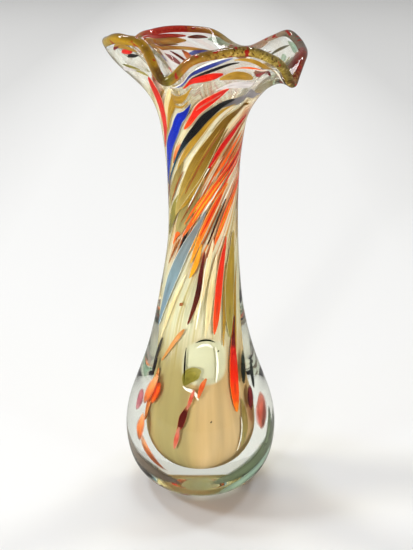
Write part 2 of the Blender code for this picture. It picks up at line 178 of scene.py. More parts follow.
add_softbox("softbox_above", (0, 1.1, 5.1), (0, 0, 0.1), (1.5, 1.5), 78)
add_softbox("softbox_left", (-2.9, 2.0, 5.2), (0, 0, 0.1), (0.8, 0.8), 92)
add_softbox("softbox_right", (3.0, 2.0, 5.1), (0, 0, 0.1), (0.8, 0.8), 68)
add_softbox("softbox_side", (-4.4, 0.3, 3.4), (0, 0, 0.1), (1.0, 1.0), 122)
add_softbox("card_left", (-1.15, -0.75, 0.055), (0, 0, 0.17), (0.22, 0.10), 30, mirrored=False)
add_softbox("card_right", (1.10, -0.95, 0.055), (0, 0, 0.17), (0.22, 0.10), 28, mirrored=False)
add_softbox("softbox_far", (0.1, 3.9, 3.2), (0.1, 3.3, 0), (1.2, 0.8), 11, mirrored=False)
add_softbox("window", (-0.62, -1.5, 0.9), (0, 0, 0.2), (0.10, 0.16), 5)
add_softbox("strip_light", (0.1, -1.2, 2.0), (0, 0, 0.25), (0.6, 0.025), 2.3)

# The room: pale behind the vase and greyer in front of it. It gives little light of its own, and
# shows brighter in the glass, most of all to an eye that looks through it.
ROOM_STRENGTH = 0.12
ROOM_THROUGH_GLASS = 0.8
MIRRORED_SHARE = 0.45

world = bpy.data.worlds.new("pale_room")
bpy.context.scene.world = world
world.use_nodes = True
tree = world.node_tree
tree.nodes.clear()
out = tree.nodes.new("ShaderNodeOutputWorld")
place = add_node(tree, "ShaderNodeTexCoord")
split = add_node(tree, "ShaderNodeSeparateXYZ", links={0: place.outputs["Generated"]})
front = add_node(tree, "ShaderNodeMapRange", {"From Min": -1.0, "From Max": 0.2},
                 {"Value": split.outputs["Y"]})
tone = add_node(tree, "ShaderNodeValToRGB", links={0: front.outputs[0]})
set_ramp(tone, ((0.0, "#8a8886"), (0.35, "#a8a6a3"), (0.6, "#e2e1df"), (1.0, "#faf9f7")))
seen = add_node(tree, "ShaderNodeLightPath")
mirrored = add_node(tree, "ShaderNodeMath", {"operation": "MULTIPLY", 1: MIRRORED_SHARE},
                    {0: seen.outputs["Is Glossy Ray"]})
looked_at = add_node(tree, "ShaderNodeMath", {"operation": "MAXIMUM"},
                     {0: mirrored.outputs[0], 1: seen.outputs["Is Transmission Ray"]})
strength = add_node(tree, "ShaderNodeMapRange", {"To Min": ROOM_STRENGTH, "To Max": ROOM_THROUGH_GLASS},
                    {"Value": looked_at.outputs[0]})
glow = add_node(tree, "ShaderNodeBackground",
                links={"Color": tone.outputs[0], "Strength": strength.outputs[0]})
tree.links.new(glow.outputs[0], out.inputs["Surface"])

# The vase body is one fused mass of clear soda-lime glass: a heavy bulb ground flat below, a
# slim neck that leans a little to the right, and a flared lip tooled hot into four waves. It is
# spun from its half outline, and then each direction of the flare is bent to its own curve.
HEIGHT = 0.304
BULB_RADIUS = 0.051
LIP_THICKNESS = 0.0054
BUBBLE_WALL = 0.0028
NECK_DRIFT = 0.0021
# Height and radius of the clear outside, below the flare.
OUTER_MM = (
    (0, 29.5), (1.6, 31.6), (6, 38.0), (13, 44.2), (22, 48.6), (33, 50.7), (46, 51.0), (60, 48.6),
    (76, 43.2), (95, 36.4), (120, 29.9), (150, 25.0), (178, 22.0), (206, 21.6), (230, 22.7), (250, 25.4),
    (258, 26.95),
)
# Station, radius and height of the colour layer, below the flare.
LAYER_MM = (
    (0, 0, 18.4), (6, 6.0, 18.7), (12, 11.8, 20.0), (18, 17.0, 22.8), (24, 21.2, 27.2), (31, 24.3, 33.4),
    (39, 25.6, 40.8), (48, 25.6, 48.5), (60, 24.3, 60), (76, 21.9, 76), (95, 20.3, 95), (120, 18.8, 120),
    (150, 17.4, 150), (178, 16.6, 178), (206, 16.7, 206), (230, 18.2, 230), (250, 21.9, 250),
)
# Azimuth, radius and height of the lip's edge. Azimuth 0 is the front and 90 the right.
LIP_MM = (
    (10, 53.8, 299.2), (36, 54.8, 296.8), (54, 56.8, 284.5), (61, 57.6, 275.0), (69, 57.8, 280.4),
    (77, 58.6, 287.3), (97, 59.6, 293.4), (107, 59.4, 296.6), (117, 58.4, 299.2), (128, 56.4, 294.6),
    (152, 54, 284), (174, 54.2, 296), (188, 54.4, 298.2), (216, 54.4, 297.4), (227, 54.6, 294.6),
    (239, 54.8, 284.6), (251, 54.4, 289.5), (263, 54.4, 296), (289, 56.4, 301), (311, 56.4, 304),
    (325, 53.2, 296.8), (329, 52.4, 287.5), (334, 51.5, 280.8), (341, 51.6, 283.6), (350, 52.6, 292.6),
)
# Azimuth, and the angle above level at which the wall reaches the edge.
LIP_LEAN_DEG = (
    (0, 60), (18, 62), (40, 45), (61, -35), (80, 30), (97, 50), (117, 62), (140, 20), (152, -15), (165, 20),
    (188, 60), (216, 55), (239, -15), (255, 20), (276, 60), (301, 65), (319, 40), (334, -12), (345, 20),
)
# Azimuth, and the share of the flare on which the wall keeps the direction of its root.
CLIMB_SHARES = (
    (0, 0.42), (18, 0.42), (61, 0.34), (97, 0.36), (152, 0.36), (190, 0.45), (240, 0.42), (290, 0.50),
    (320, 0.46), (334, 0.40),
)
MM = 0.001
# The flare begins at the last station of the colour layer's table.
ROOT = LAYER_MM[-1][0] * MM
ROOT_LEAN_DEG = 79.0
LIP_PULL_SHARE = 0.33
DRIFT_START_SHARE = 0.41
DRIFT_END_SHARE = 0.61
SPIN_STEPS = 120
STRAIGHT_RADIUS = 0.1
STRAIGHT_LIFT = 1.0
FOOT_INNER_MM = 20
LOWEST_STATION = HEIGHT * 0.0005
WELD_DISTANCE = 0.000001
# Share of the height, and how far the canes have turned there.
TWIST_DEG = (
    (0, 0), (0.3, 0), (0.36, 4), (0.43, 13), (0.49, 28), (0.56, 50), (0.625, 79), (0.69, 111),
    (0.755, 145), (0.82, 182), (0.9, 228), (1.0, 290),
)


def eased(at, knots, values):
    """Read a smooth curve through the knots; the slope at each knot follows its neighbours."""
    knots = np.asarray(knots, float)
    values = np.asarray(values, float)
    slopes = np.gradient(values, knots)
    cell = np.clip(np.searchsorted(knots, at, side="right") - 1, 0, len(knots) - 2)
    span = knots[cell + 1] - knots[cell]
    u = (at - knots[cell]) / span
    start = (2 * u**3 - 3 * u**2 + 1) * values[cell] + (u**3 - 2 * u**2 + u) * span * slopes[cell]
    end = (3 * u**2 - 2 * u**3) * values[cell + 1] + (u**3 - u**2) * span * slopes[cell + 1]
    return start + end


def column(table, k):
    """One column of a table."""
    return [row[k] for row in table]


def eased_round(azimuth, table, k):
    """Read a column of a table that goes all round the vase."""
    knots = [row[0] + turn for turn in (-360, 0, 360) for row in table]
    return eased(azimuth, knots, column(table, k) * 3)


def lip_edge(azimuth):
    """Radius and height of the lip's edge, climbing share and lean, by azimuth in degrees."""
    radius = eased_round(azimuth, LIP_MM, 1) * MM
    height = eased_round(azimuth, LIP_MM, 2) * MM
    lean = np.radians(eased_round(azimuth, LIP_LEAN_DEG, 1))
    return radius, height, eased_round(azimuth, CLIMB_SHARES, 1), lean


def neck_drift(height):
    """Sideways shift of the centre line towards +X at a height."""
    share = (height / HEIGHT - DRIFT_START_SHARE) / (DRIFT_END_SHARE - DRIFT_START_SHARE)
    share = np.clip(share, 0, 1)
    return NECK_DRIFT * share * share * (3 - 2 * share)


def placed(azimuth, radius, height):
    """Points from azimuth, radius and height round the leaning centre line."""
    turn = np.radians(azimuth)
    across = radius * np.sin(turn) + neck_drift(height)
    return np.stack([across, -radius * np.cos(turn), height + 0 * turn], -1)


def layer_profile(station):
    """Radius and height of the colour layer below the flare."""
    stations = column(LAYER_MM, 0)
    return (eased(station / MM, stations, column(LAYER_MM, 1)) * MM,
            eased(station / MM, stations, column(LAYER_MM, 2)) * MM)


def flare_profile(azimuth, share):
    """Radius and height of the colour layer in the flare, a curve from the root to the lip."""
    root_radius, root_height = layer_profile(ROOT)
    edge_radius, edge_height, climb, lean = lip_edge(azimuth)
    end_radius = edge_radius - np.cos(lean) * LIP_THICKNESS / 2
    end_height = edge_height - np.sin(lean) * LIP_THICKNESS / 2
    reach = np.hypot(end_radius - root_radius, end_height - root_height)
    root_lean = math.radians(ROOT_LEAN_DEG)
    pull_radius = root_radius + math.cos(root_lean) * reach * climb
    pull_height = root_height + math.sin(root_lean) * reach * climb
    back_radius = end_radius - np.cos(lean) * reach * LIP_PULL_SHARE
    back_height = end_height - np.sin(lean) * reach * LIP_PULL_SHARE
    a, b, c, d = (1 - share)**3, 3 * share * (1 - share)**2, 3 * share**2 * (1 - share), share**3
    return (a * root_radius + b * pull_radius + c * back_radius + d * end_radius,
            a * root_height + b * pull_height + c * back_height + d * end_height)


def layer_point(azimuth, station):
    """Points of the colour layer; stations past the root run up the flare."""
    azimuth, station = np.broadcast_arrays(np.asarray(azimuth, float), np.asarray(station, float))
    low_radius, low_height = layer_profile(np.minimum(station, ROOT))
    high_radius, high_height = flare_profile(azimuth, np.clip((station - ROOT) / (HEIGHT - ROOT), 0, None))
    low = station <= ROOT
    return placed(azimuth, np.where(low, low_radius, high_radius), np.where(low, low_height, high_height))


def layer_frame(azimuth, station):
    """Points of the colour layer, outward normals, and moves per degree round and per metre up."""
    step_deg = 0.05
    step = HEIGHT * 0.0002
    round_way = layer_point(azimuth + step_deg, station) - layer_point(azimuth - step_deg, station)
    round_way = round_way / (2 * step_deg)
    low = np.maximum(station - step, 0)
    up_way = layer_point(azimuth, station + step) - layer_point(azimuth, low)
    up_way = up_way / (station + step - low)[..., None]
    normal = np.cross(round_way, up_way)
    normal = normal / np.linalg.norm(normal, axis=-1, keepdims=True)
    return layer_point(azimuth, station), normal, round_way, up_way


def flare_station(share):
    """Station at a share of the flare."""
    return ROOT + share * (HEIGHT - ROOT)


def twist_deg(station):
    """How far the canes have turned round the vase at a station, in degrees."""
    return eased(np.clip(station / HEIGHT, 0, 1), column(TWIST_DEG, 0), column(TWIST_DEG, 1))


def bend_to_vase(mesh):
    """Turn a mesh spun with straight walls into the vase's walls.

    A straight wall stands on STRAIGHT_LIFT; its height there is the station, and its distance
    outside STRAIGHT_RADIUS is the distance outside the colour layer. Lower points only lean
    with the neck. The untwisted place of each point is kept, for patterns that follow the canes.
    """
    count = len(mesh.vertices)
    spots = np.empty(count * 3)
    mesh.vertices.foreach_get("co", spots)
    spots = spots.reshape(-1, 3)
    azimuth = np.degrees(np.arctan2(spots[:, 0], -spots[:, 1]))
    across = np.hypot(spots[:, 0], spots[:, 1])
    straight = spots[:, 2] > STRAIGHT_LIFT / 2
    station = np.where(straight, spots[:, 2] - STRAIGHT_LIFT, spots[:, 2])
    offset = across - STRAIGHT_RADIUS
    on_layer = np.clip(station, LOWEST_STATION, HEIGHT)
    point, normal, _, up_way = layer_frame(azimuth, on_layer)
    along = up_way / np.linalg.norm(up_way, axis=-1, keepdims=True)
    bent = point + normal * offset[:, None] + along * np.maximum(station - HEIGHT, 0)[:, None]
    tip = straight & (station < LOWEST_STATION)
    bent[tip, :2] = 0
    leaned = placed(azimuth, across, spots[:, 2])
    done = np.where(straight[:, None], bent, leaned)
    mesh.vertices.foreach_set("co", done.ravel())
    turn = np.radians(azimuth - twist_deg(station))
    flow = np.stack([BULB_RADIUS * np.sin(turn), -BULB_RADIUS * np.cos(turn), station], -1)
    mesh.attributes.new("untwisted", "FLOAT_VECTOR", "POINT").data.foreach_set("vector", flow.ravel())
    mesh.update()


def deselect_all():
    """Leave nothing selected and nothing active."""
    for piece in bpy.context.selected_objects:
        piece.select_set(False)
    bpy.context.view_layer.objects.active = None


def spin_wall(name, outline, closed=False):
    """Spin a half outline of (radius, height) points into a closed wall and bend it to the vase."""
    mesh = bpy.data.meshes.new(name)
    edges = [(i, i + 1) for i in range(len(outline) - 1)]
    if closed:
        edges.append((len(outline) - 1, 0))
    mesh.from_pydata([(0, -radius, height) for radius, height in outline], edges, [])
    piece = bpy.data.objects.new(name, mesh)
    bpy.context.scene.collection.objects.link(piece)
    deselect_all()
    piece.select_set(True)
    bpy.context.view_layer.objects.active = piece
    bpy.ops.object.mode_set(mode="EDIT")
    bpy.ops.mesh.select_all(action="SELECT")
    bpy.ops.mesh.spin(steps=SPIN_STEPS, angle=2 * math.pi, center=(0, 0, 0), axis=(0, 0, 1))
    bpy.ops.mesh.select_all(action="SELECT")
    bpy.ops.mesh.remove_doubles(threshold=WELD_DISTANCE)
    bpy.ops.object.mode_set(mode="OBJECT")
    bend_to_vase(mesh)
    bpy.ops.object.mode_set(mode="EDIT")
    bpy.ops.mesh.select_all(action="SELECT")
    bpy.ops.mesh.remove_doubles(threshold=WELD_DISTANCE)
    bpy.ops.mesh.normals_make_consistent(inside=False)
    bpy.ops.object.mode_set(mode="OBJECT")
    bpy.ops.object.shade_smooth()
    return piece


def smooth_piece(piece, levels):
    """Round a piece with an applied subdivision surface."""
    deselect_all()
    piece.select_set(True)
    bpy.context.view_layer.objects.active = piece
    rounding = piece.modifiers.new("rounding", "SUBSURF")
    rounding.levels = levels
    rounding.render_levels = levels
    bpy.ops.object.modifier_apply(modifier=rounding.name)


def straight_wall(stations, offset):
    """Outline points of a wall at one distance outside the colour layer."""
    return [(STRAIGHT_RADIUS + offset, STRAIGHT_LIFT + station) for station in stations]


def casing_wall(share):
    """Distance from the colour layer to the clear outside, at a share of the flare."""
    root_wall = (eased(ROOT / MM, column(OUTER_MM, 0), column(OUTER_MM, 1)) - LAYER_MM[-1][1]) * MM
    return root_wall + (LIP_THICKNESS - BUBBLE_WALL - root_wall) * math.sin(share * math.pi / 2)


# The outline runs from the foot up the outside, over the rounded rim and down the hollow.
wall_heights_mm = np.concatenate([np.linspace(0, 18, 10), np.linspace(21, ROOT / MM, 44)])
flare_shares = np.linspace(0.04, 1, 22)
outline = [(0, 0), (FOOT_INNER_MM * MM, 0)]
for height in wall_heights_mm:
    outline.append((float(eased(height, column(OUTER_MM, 0), column(OUTER_MM, 1))) * MM, height * MM))
for share in flare_shares:
    outline += straight_wall([flare_station(share)], casing_wall(share))
lip_middle = LIP_THICKNESS / 2 - BUBBLE_WALL
for turn in np.radians(np.arange(20, 180, 20)):
    outline += straight_wall([HEIGHT + math.sin(turn) * LIP_THICKNESS / 2],
                             lip_middle + math.cos(turn) * LIP_THICKNESS / 2)
outline += straight_wall([flare_station(share) for share in flare_shares[::-1]], -BUBBLE_WALL)
outline += straight_wall(np.linspace(ROOT, 0.0, 56), -BUBBLE_WALL)
vase_glass = spin_wall("vase_glass", outline)
smooth_piece(vase_glass, 1)

# Clear soda-lime glass, fire-polished: nearly colourless, a little green where it is thick, with
# long ripples from the tools. Lamp light goes straight through it, so that the colours inside are
# lit. What comes in low at the front of the bulb is tinted ochre, which colours the foot's shadow.
RIPPLE_MM = (16.67, 111.1)
RIPPLES_BEGIN = (0.02, 0.09)
RIPPLE_DEPTH = 0.0004
OCHRE_FRONT = (-0.012, 0.012)


def drawn_noise(tree, place, size_mm, detail, roughness=0.5):
    """Noise drawn out along the canes' twist, in patches of this width and length."""
    width, length = size_mm
    stretch = add_node(tree, "ShaderNodeMapping",
                       {"Scale": (1 / (width * MM), 1 / (width * MM), 1 / (length * MM))},
                       {"Vector": place})
    noise = add_node(tree, "ShaderNodeTexNoise", {"Scale": 1.0, "Detail": detail, "Roughness": roughness},
                     {"Vector": stretch.outputs[0]})
    return noise.outputs[0]


clear, tree, out = new_material("clear_soda_lime_glass_fire_polished")
flow = add_node(tree, "ShaderNodeAttribute", {"attribute_name": "untwisted"})
split = add_node(tree, "ShaderNodeSeparateXYZ", links={0: flow.outputs["Vector"]})
ripples = drawn_noise(tree, flow.outputs["Vector"], RIPPLE_MM, 0.0)
worked = add_node(tree, "ShaderNodeMapRange",
                  {"From Min": RIPPLES_BEGIN[0], "From Max": RIPPLES_BEGIN[1], "To Max": 0.4},
                  {"Value": split.outputs["Z"]})
tooled = add_node(tree, "ShaderNodeBump", {"Distance": RIPPLE_DEPTH},
                  {"Height": ripples, "Strength": worked.outputs[0]})
polish = add_node(tree, "ShaderNodeBsdfPrincipled",
                  {"Base Color": linear("#fdfefd"), "Roughness": 0.0, "IOR": 1.5, "Transmission Weight": 1.0},
                  {"Normal": tooled.outputs[0]})
place = add_node(tree, "ShaderNodeTexCoord")
split = add_node(tree, "ShaderNodeSeparateXYZ", links={0: place.outputs["Object"]})
soaked = add_node(tree, "ShaderNodeValToRGB", links={0: split.outputs["Z"]})
set_ramp(soaked, ((0.0, "#f4f2ea"), (0.0015, "#f4f2ea"), (0.004, "#8c6420"), (0.040, "#906a2c"),
                  (0.06, "#f2efe6")))
behind = add_node(tree, "ShaderNodeMapRange", {"From Min": OCHRE_FRONT[0], "From Max": OCHRE_FRONT[1]},
                  {"Value": split.outputs["Y"]})
soaked = add_node(tree, "ShaderNodeMix", {"data_type": "RGBA", "B": linear("#f6f4ec")},
                  {"Factor": behind.outputs[0], "A": soaked.outputs[0]})
side = add_node(tree, "ShaderNodeNewGeometry")
lamp_tone = add_node(tree, "ShaderNodeMix", {"data_type": "RGBA", "B": linear("#f6f4ea")},
                     {"Factor": side.outputs["Backfacing"], "A": soaked.outputs["Result"]})
let_through = add_node(tree, "ShaderNodeBsdfTransparent", links={"Color": lamp_tone.outputs["Result"]})
seen = add_node(tree, "ShaderNodeLightPath")
lit = add_node(tree, "ShaderNodeMath", {"operation": "MAXIMUM"},
               {0: seen.outputs["Is Shadow Ray"], 1: seen.outputs["Is Diffuse Ray"]})
either = add_node(tree, "ShaderNodeMixShader",
                  links={0: lit.outputs[0], 1: polish.outputs[0], 2: let_through.outputs[0]})
tint = add_node(tree, "ShaderNodeVolumeAbsorption", {"Color": linear("#e6ecd8"), "Density": 5.0})
tree.links.new(either.outputs[0], out.inputs["Surface"])
tree.links.new(tint.outputs[0], out.inputs["Volume"])
vase_glass.data.materials.append(clear)
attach(vase_glass, "root")
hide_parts("clear_casing", "inner_bubble")

# The lining is the skin of ochre glass that the vase was first blown from. It coats the hollow
# all the way to the lip. In the bulb it is an even, milky beige; up the neck it thins out into
# cream, olive and gold ribbons that follow the twist, and in the flare it is almost clear.
LINING_OUT = 0.0017
LINING_IN = 0.0024
RIBBON_MM = (10.53, 200)
THREAD_MM = (3.03, 125)
CLOUD_MM = (55.56, 111.1)
BULB_LINE_MM = (12.5, 83.33)
BULB_LEFT = (0.003, -0.030)
NECK_BEGINS = (0.085, 0.128)
NECK_BUSY = (0.148, 0.182)
FLARE_CLEARS = (0.245, 0.275)
# Middle and reach of the painted window reflection on the front of the bulb.
PAINTED_REFLECTION_MIDDLE = (0.005, -0.051, 0.098)
PAINTED_REFLECTION_REACH = (0.034, 0.040, 0.0165)

lining_stations = np.linspace(0.0, 0.985, 90) * HEIGHT
outline = straight_wall(lining_stations, -LINING_OUT)
outline += straight_wall([HEIGHT * 0.99], -(LINING_OUT + LINING_IN) / 2)
outline += straight_wall(lining_stations[::-1], -LINING_IN)
ochre_lining = spin_wall("ochre_lining", outline)


def opaque_glass(tree, tone, roughness, glow_share):
    """Body of opaque glass, without a gloss of its own; a share of the light glows through it."""
    body = add_node(tree, "ShaderNodeBsdfPrincipled", {"Roughness": roughness, "Specular IOR Level": 0.0},
                    {"Base Color": tone})
    glow = add_node(tree, "ShaderNodeBsdfTranslucent", links={"Color": tone})
    return add_node(tree, "ShaderNodeMixShader", {0: glow_share}, {1: body.outputs[0], 2: glow.outputs[0]})


# Milky ochre glass, blown thin: light spreads in it and glows through. First the neck, with its ribbons, and
# over them hair-thin white lines that are painted glints.
milky, tree, out = new_material("milky_ochre_glass_blown_thin")
flow = add_node(tree, "ShaderNodeAttribute", {"attribute_name": "untwisted"})
split = add_node(tree, "ShaderNodeSeparateXYZ", links={0: flow.outputs["Vector"]})
ribbons = drawn_noise(tree, flow.outputs["Vector"], RIBBON_MM, 5.0, 0.65)
threads = drawn_noise(tree, flow.outputs["Vector"], THREAD_MM, 2.0)
neck_tone = add_node(tree, "ShaderNodeValToRGB", links={0: ribbons})
set_ramp(neck_tone, ((0.28, "#8a6a1c"), (0.36, "#b08a30"), (0.42, "#dcc684"), (0.46, "#fbf6e4"),
                     (0.51, "#dcdfc4"), (0.55, "#faf6e8"), (0.60, "#d0bd80"), (0.66, "#ac8c34"),
                     (0.74, "#b8641c")))
# Painted glints: hair-thin white lines over the ribbons.
painted_glint_lines = add_node(tree, "ShaderNodeMapRange", {"From Min": 0.60, "From Max": 0.66}, {"Value": threads})
busy_tone = add_node(tree, "ShaderNodeMix", {"data_type": "RGBA", "B": linear("#fffdf4")},
                     {"Factor": painted_glint_lines.outputs[0], "A": neck_tone.outputs[0]})
# Most of the orange was laid on one side, so its threads fill that side of the neck only.
sides = add_node(tree, "ShaderNodeTexGradient", {"gradient_type": "RADIAL"},
                 {"Vector": flow.outputs["Vector"]})
orange_side = add_node(tree, "ShaderNodeValToRGB", links={0: sides.outputs["Fac"]})
set_ramp(orange_side, ((0.0, "#ffffff"), (0.16, "#ffffff"), (0.24, "#000000"), (0.84, "#000000"),
                       (0.92, "#ffffff")))
warm_lines = add_node(tree, "ShaderNodeMapRange", {"From Min": 0.52, "From Max": 0.45}, {"Value": threads})
line_share = add_node(tree, "ShaderNodeMath", {"operation": "MULTIPLY"},
                      {0: warm_lines.outputs[0], 1: orange_side.outputs[0]})
warm_tone = add_node(tree, "ShaderNodeValToRGB", links={0: ribbons})
set_ramp(warm_tone, ((0.35, "#e05010"), (0.46, "#f09428"), (0.54, "#c06018"), (0.62, "#e86818"),
                     (0.7, "#8c3010")))
busy_tone = add_node(tree, "ShaderNodeMix", {"data_type": "RGBA"},
                     {"Factor": line_share.outputs[0], "A": busy_tone.outputs["Result"],
                      "B": warm_tone.outputs[0]})
# Lower down, above the bulb, the ribbons are paler and quieter.
quiet_tone = add_node(tree, "ShaderNodeValToRGB", links={0: ribbons})
set_ramp(quiet_tone, ((0.32, "#c8bc80"), (0.42, "#e8e4c8"), (0.50, "#f4f2e2"), (0.58, "#dfe2cc"),
                      (0.66, "#eee6c4"), (0.74, "#c0aa60")))
busy = add_node(tree, "ShaderNodeMapRange",
                {"From Min": NECK_BUSY[0], "From Max": NECK_BUSY[1], "interpolation_type": "SMOOTHSTEP"},
                {"Value": split.outputs["Z"]})
neck_tone = add_node(tree, "ShaderNodeMix", {"data_type": "RGBA"},
                     {"Factor": busy.outputs[0], "A": quiet_tone.outputs[0],
                      "B": busy_tone.outputs["Result"]})
# The bulb is beige and a little greener at its left, with faint drawn lines.
clouds = drawn_noise(tree, flow.outputs["Vector"], CLOUD_MM, 3.0)
bulb_lines = drawn_noise(tree, flow.outputs["Vector"], BULB_LINE_MM, 3.0)
bulb_tone = add_node(tree, "ShaderNodeValToRGB", links={0: clouds})
set_ramp(bulb_tone, ((0.30, "#dac28c"), (0.5, "#e4cc9e"), (0.72, "#ecd8b2")))
left_side = add_node(tree, "ShaderNodeMapRange",
                     {"From Min": BULB_LEFT[0], "From Max": BULB_LEFT[1], "interpolation_type": "SMOOTHSTEP"},
                     {"Value": split.outputs["X"]})
bulb_tone = add_node(tree, "ShaderNodeMix", {"data_type": "RGBA", "B": linear("#c6ba86")},
                     {"Factor": left_side.outputs[0], "A": bulb_tone.outputs[0]})
faint = add_node(tree, "ShaderNodeMapRange",
                 {"From Min": 0.35, "From Max": 0.65, "To Min": 0.9, "To Max": 1.06},
                 {"Value": bulb_lines})
bulb_tone = add_node(tree, "ShaderNodeVectorMath", {"operation": "SCALE"},
                     {0: bulb_tone.outputs["Result"], "Scale": faint.outputs[0]})
climb = add_node(tree, "ShaderNodeMapRange",
                 {"From Min": NECK_BEGINS[0], "From Max": NECK_BEGINS[1], "interpolation_type": "SMOOTHSTEP"},
                 {"Value": split.outputs["Z"]})
tone = add_node(tree, "ShaderNodeMix", {"data_type": "RGBA"},
                {"Factor": climb.outputs[0], "A": bulb_tone.outputs[0], "B": neck_tone.outputs["Result"]})
# High on the front of the bulb a rounded pale window is painted into the skin: a painted reflection of a
# bright window.
shift = add_node(tree, "ShaderNodeVectorMath", {"operation": "SUBTRACT", 1: PAINTED_REFLECTION_MIDDLE},
                 {0: flow.outputs["Vector"]})
shrink = add_node(tree, "ShaderNodeVectorMath", {"operation": "DIVIDE", 1: PAINTED_REFLECTION_REACH},
                  {0: shift.outputs[0]})
away = add_node(tree, "ShaderNodeVectorMath", {"operation": "ABSOLUTE"}, {0: shrink.outputs[0]})
square = add_node(tree, "ShaderNodeVectorMath", {"operation": "MULTIPLY"},
                  {0: away.outputs[0], 1: away.outputs[0]})
distance = add_node(tree, "ShaderNodeVectorMath", {"operation": "DOT_PRODUCT"},
                    {0: square.outputs[0], 1: away.outputs[0]})
# Mask of the painted window reflection.
thin = add_node(tree, "ShaderNodeMapRange",
                {"From Min": 1.05, "From Max": 0.62, "interpolation_type": "SMOOTHSTEP"},
                {"Value": distance.outputs["Value"]})
tone = add_node(tree, "ShaderNodeMix", {"data_type": "RGBA", "B": linear("#e9ebd8")},
                {"Factor": thin.outputs[0], "A": tone.outputs["Result"]})
milk = opaque_glass(tree, tone.outputs["Result"], 0.5, 0.5)
flare = add_node(tree, "ShaderNodeMapRange",
                 {"From Min": FLARE_CLEARS[0], "From Max": FLARE_CLEARS[1], "To Min": 0.30, "To Max": 0.94},
                 {"Value": split.outputs["Z"]})
bleached = add_node(tree, "ShaderNodeMix", {"data_type": "RGBA", "B": linear("#ffffff")},
                    {"Factor": flare.outputs[0], "A": tone.outputs["Result"]})
gap = add_node(tree, "ShaderNodeBsdfTransparent", links={"Color": bleached.outputs["Result"]})
skin = add_node(tree, "ShaderNodeMixShader",
                links={0: flare.outputs[0], 1: milk.outputs[0], 2: gap.outputs[0]})
tree.links.new(skin.outputs[0], out.inputs["Surface"])
ochre_lining.data.materials.append(milky)
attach(ochre_lining, "root")

# The lip was folded back on itself in the flame, so its rim is a solid bead of the ochre glass
# under a clear skin, stained red, black and green where the ends of the canes ran into it.
BEAD_RADIUS = 0.0021
BEAD_SIDES = 12
STAIN_MM = 6.25
SPECK_MM = 1.5625
RED_PATCH_MM = 4.348

ring = [(STRAIGHT_RADIUS + lip_middle + math.cos(turn) * BEAD_RADIUS,
         STRAIGHT_LIFT + HEIGHT + math.sin(turn) * BEAD_RADIUS)
        for turn in np.linspace(0, 2 * math.pi, BEAD_SIDES + 1)[:-1]]
lip_bead = spin_wall("ochre_lip_bead", ring, closed=True)
smooth_piece(lip_bead, 1)

# Mottled ochre glass: its colour wanders round the rim, and dark and pale specks lie in it. The
# radial gradient starts at the left and runs past the front: 0.25 is the front, 0.5 the right.
mottled, tree, out = new_material("mottled_ochre_glass_fire_polished_rim")
place = add_node(tree, "ShaderNodeTexCoord")
wobble = add_node(tree, "ShaderNodeTexNoise", {"Scale": 1 / (STAIN_MM * MM), "Detail": 3.0},
                  {"Vector": place.outputs["Object"]})
round_rim = add_node(tree, "ShaderNodeTexGradient", {"gradient_type": "RADIAL"},
                     {"Vector": place.outputs["Object"]})
wander = add_node(tree, "ShaderNodeMath", {"operation": "MULTIPLY_ADD", 1: 0.07, 2: -0.035},
                  {0: wobble.outputs[0]})
moved = add_node(tree, "ShaderNodeMath", {"operation": "ADD"},
                 {0: round_rim.outputs["Fac"], 1: wander.outputs[0]})
base = add_node(tree, "ShaderNodeValToRGB", links={0: moved.outputs[0]})
set_ramp(base, ((0.0, "#a08c38"), (0.05, "#a08a2c"), (0.10, "#b48e18"), (0.165, "#a47c16"),
                (0.18, "#5c3c18"), (0.20, "#8c8428"), (0.225, "#b47428"), (0.25, "#967024"),
                (0.30, "#a48434"), (0.37, "#a08c3c"), (0.42, "#6c5a24"), (0.435, "#7c2410"),
                (0.485, "#8c1c10"), (0.505, "#74584c"), (0.56, "#706a60"), (0.60, "#a88c7c"),
                (0.64, "#9c7460"), (0.68, "#b0a890"), (0.72, "#a88428"), (0.79, "#cc2c14"),
                (0.86, "#cc2810"), (0.88, "#a09060"), (0.94, "#988a40"), (1.0, "#a08a30")))
grit = add_node(tree, "ShaderNodeTexNoise", {"Scale": 1 / (SPECK_MM * MM), "Detail": 3.0, "Roughness": 0.7},
                {"Vector": place.outputs["Object"]})
speckled = add_node(tree, "ShaderNodeValToRGB", links={0: moved.outputs[0]})
set_ramp(speckled, ((0.0, "#707070"), (0.25, "#707070"), (0.29, "#ffffff"), (0.42, "#ffffff"),
                    (0.45, "#707070")))
tone = base.outputs[0]
for start, end, speck in ((0.45, 0.39, "#4c2c10"), (0.56, 0.64, "#dcc070")):
    spots = add_node(tree, "ShaderNodeMapRange", {"From Min": start, "From Max": end},
                     {"Value": grit.outputs[0]})
    share = add_node(tree, "ShaderNodeMath", {"operation": "MULTIPLY"},
                     {0: spots.outputs[0], 1: speckled.outputs[0]})
    tone = add_node(tree, "ShaderNodeMix", {"data_type": "RGBA", "B": linear(speck)},
                    {"Factor": share.outputs[0], "A": tone}).outputs["Result"]
# The rim is darker at its very top, a painted shade along the top of the bead; it is orange along its lower
# edge at the front left, and a few red patches lie anywhere in it.
flow = add_node(tree, "ShaderNodeAttribute", {"attribute_name": "untwisted"})
split = add_node(tree, "ShaderNodeSeparateXYZ", links={0: flow.outputs["Vector"]})
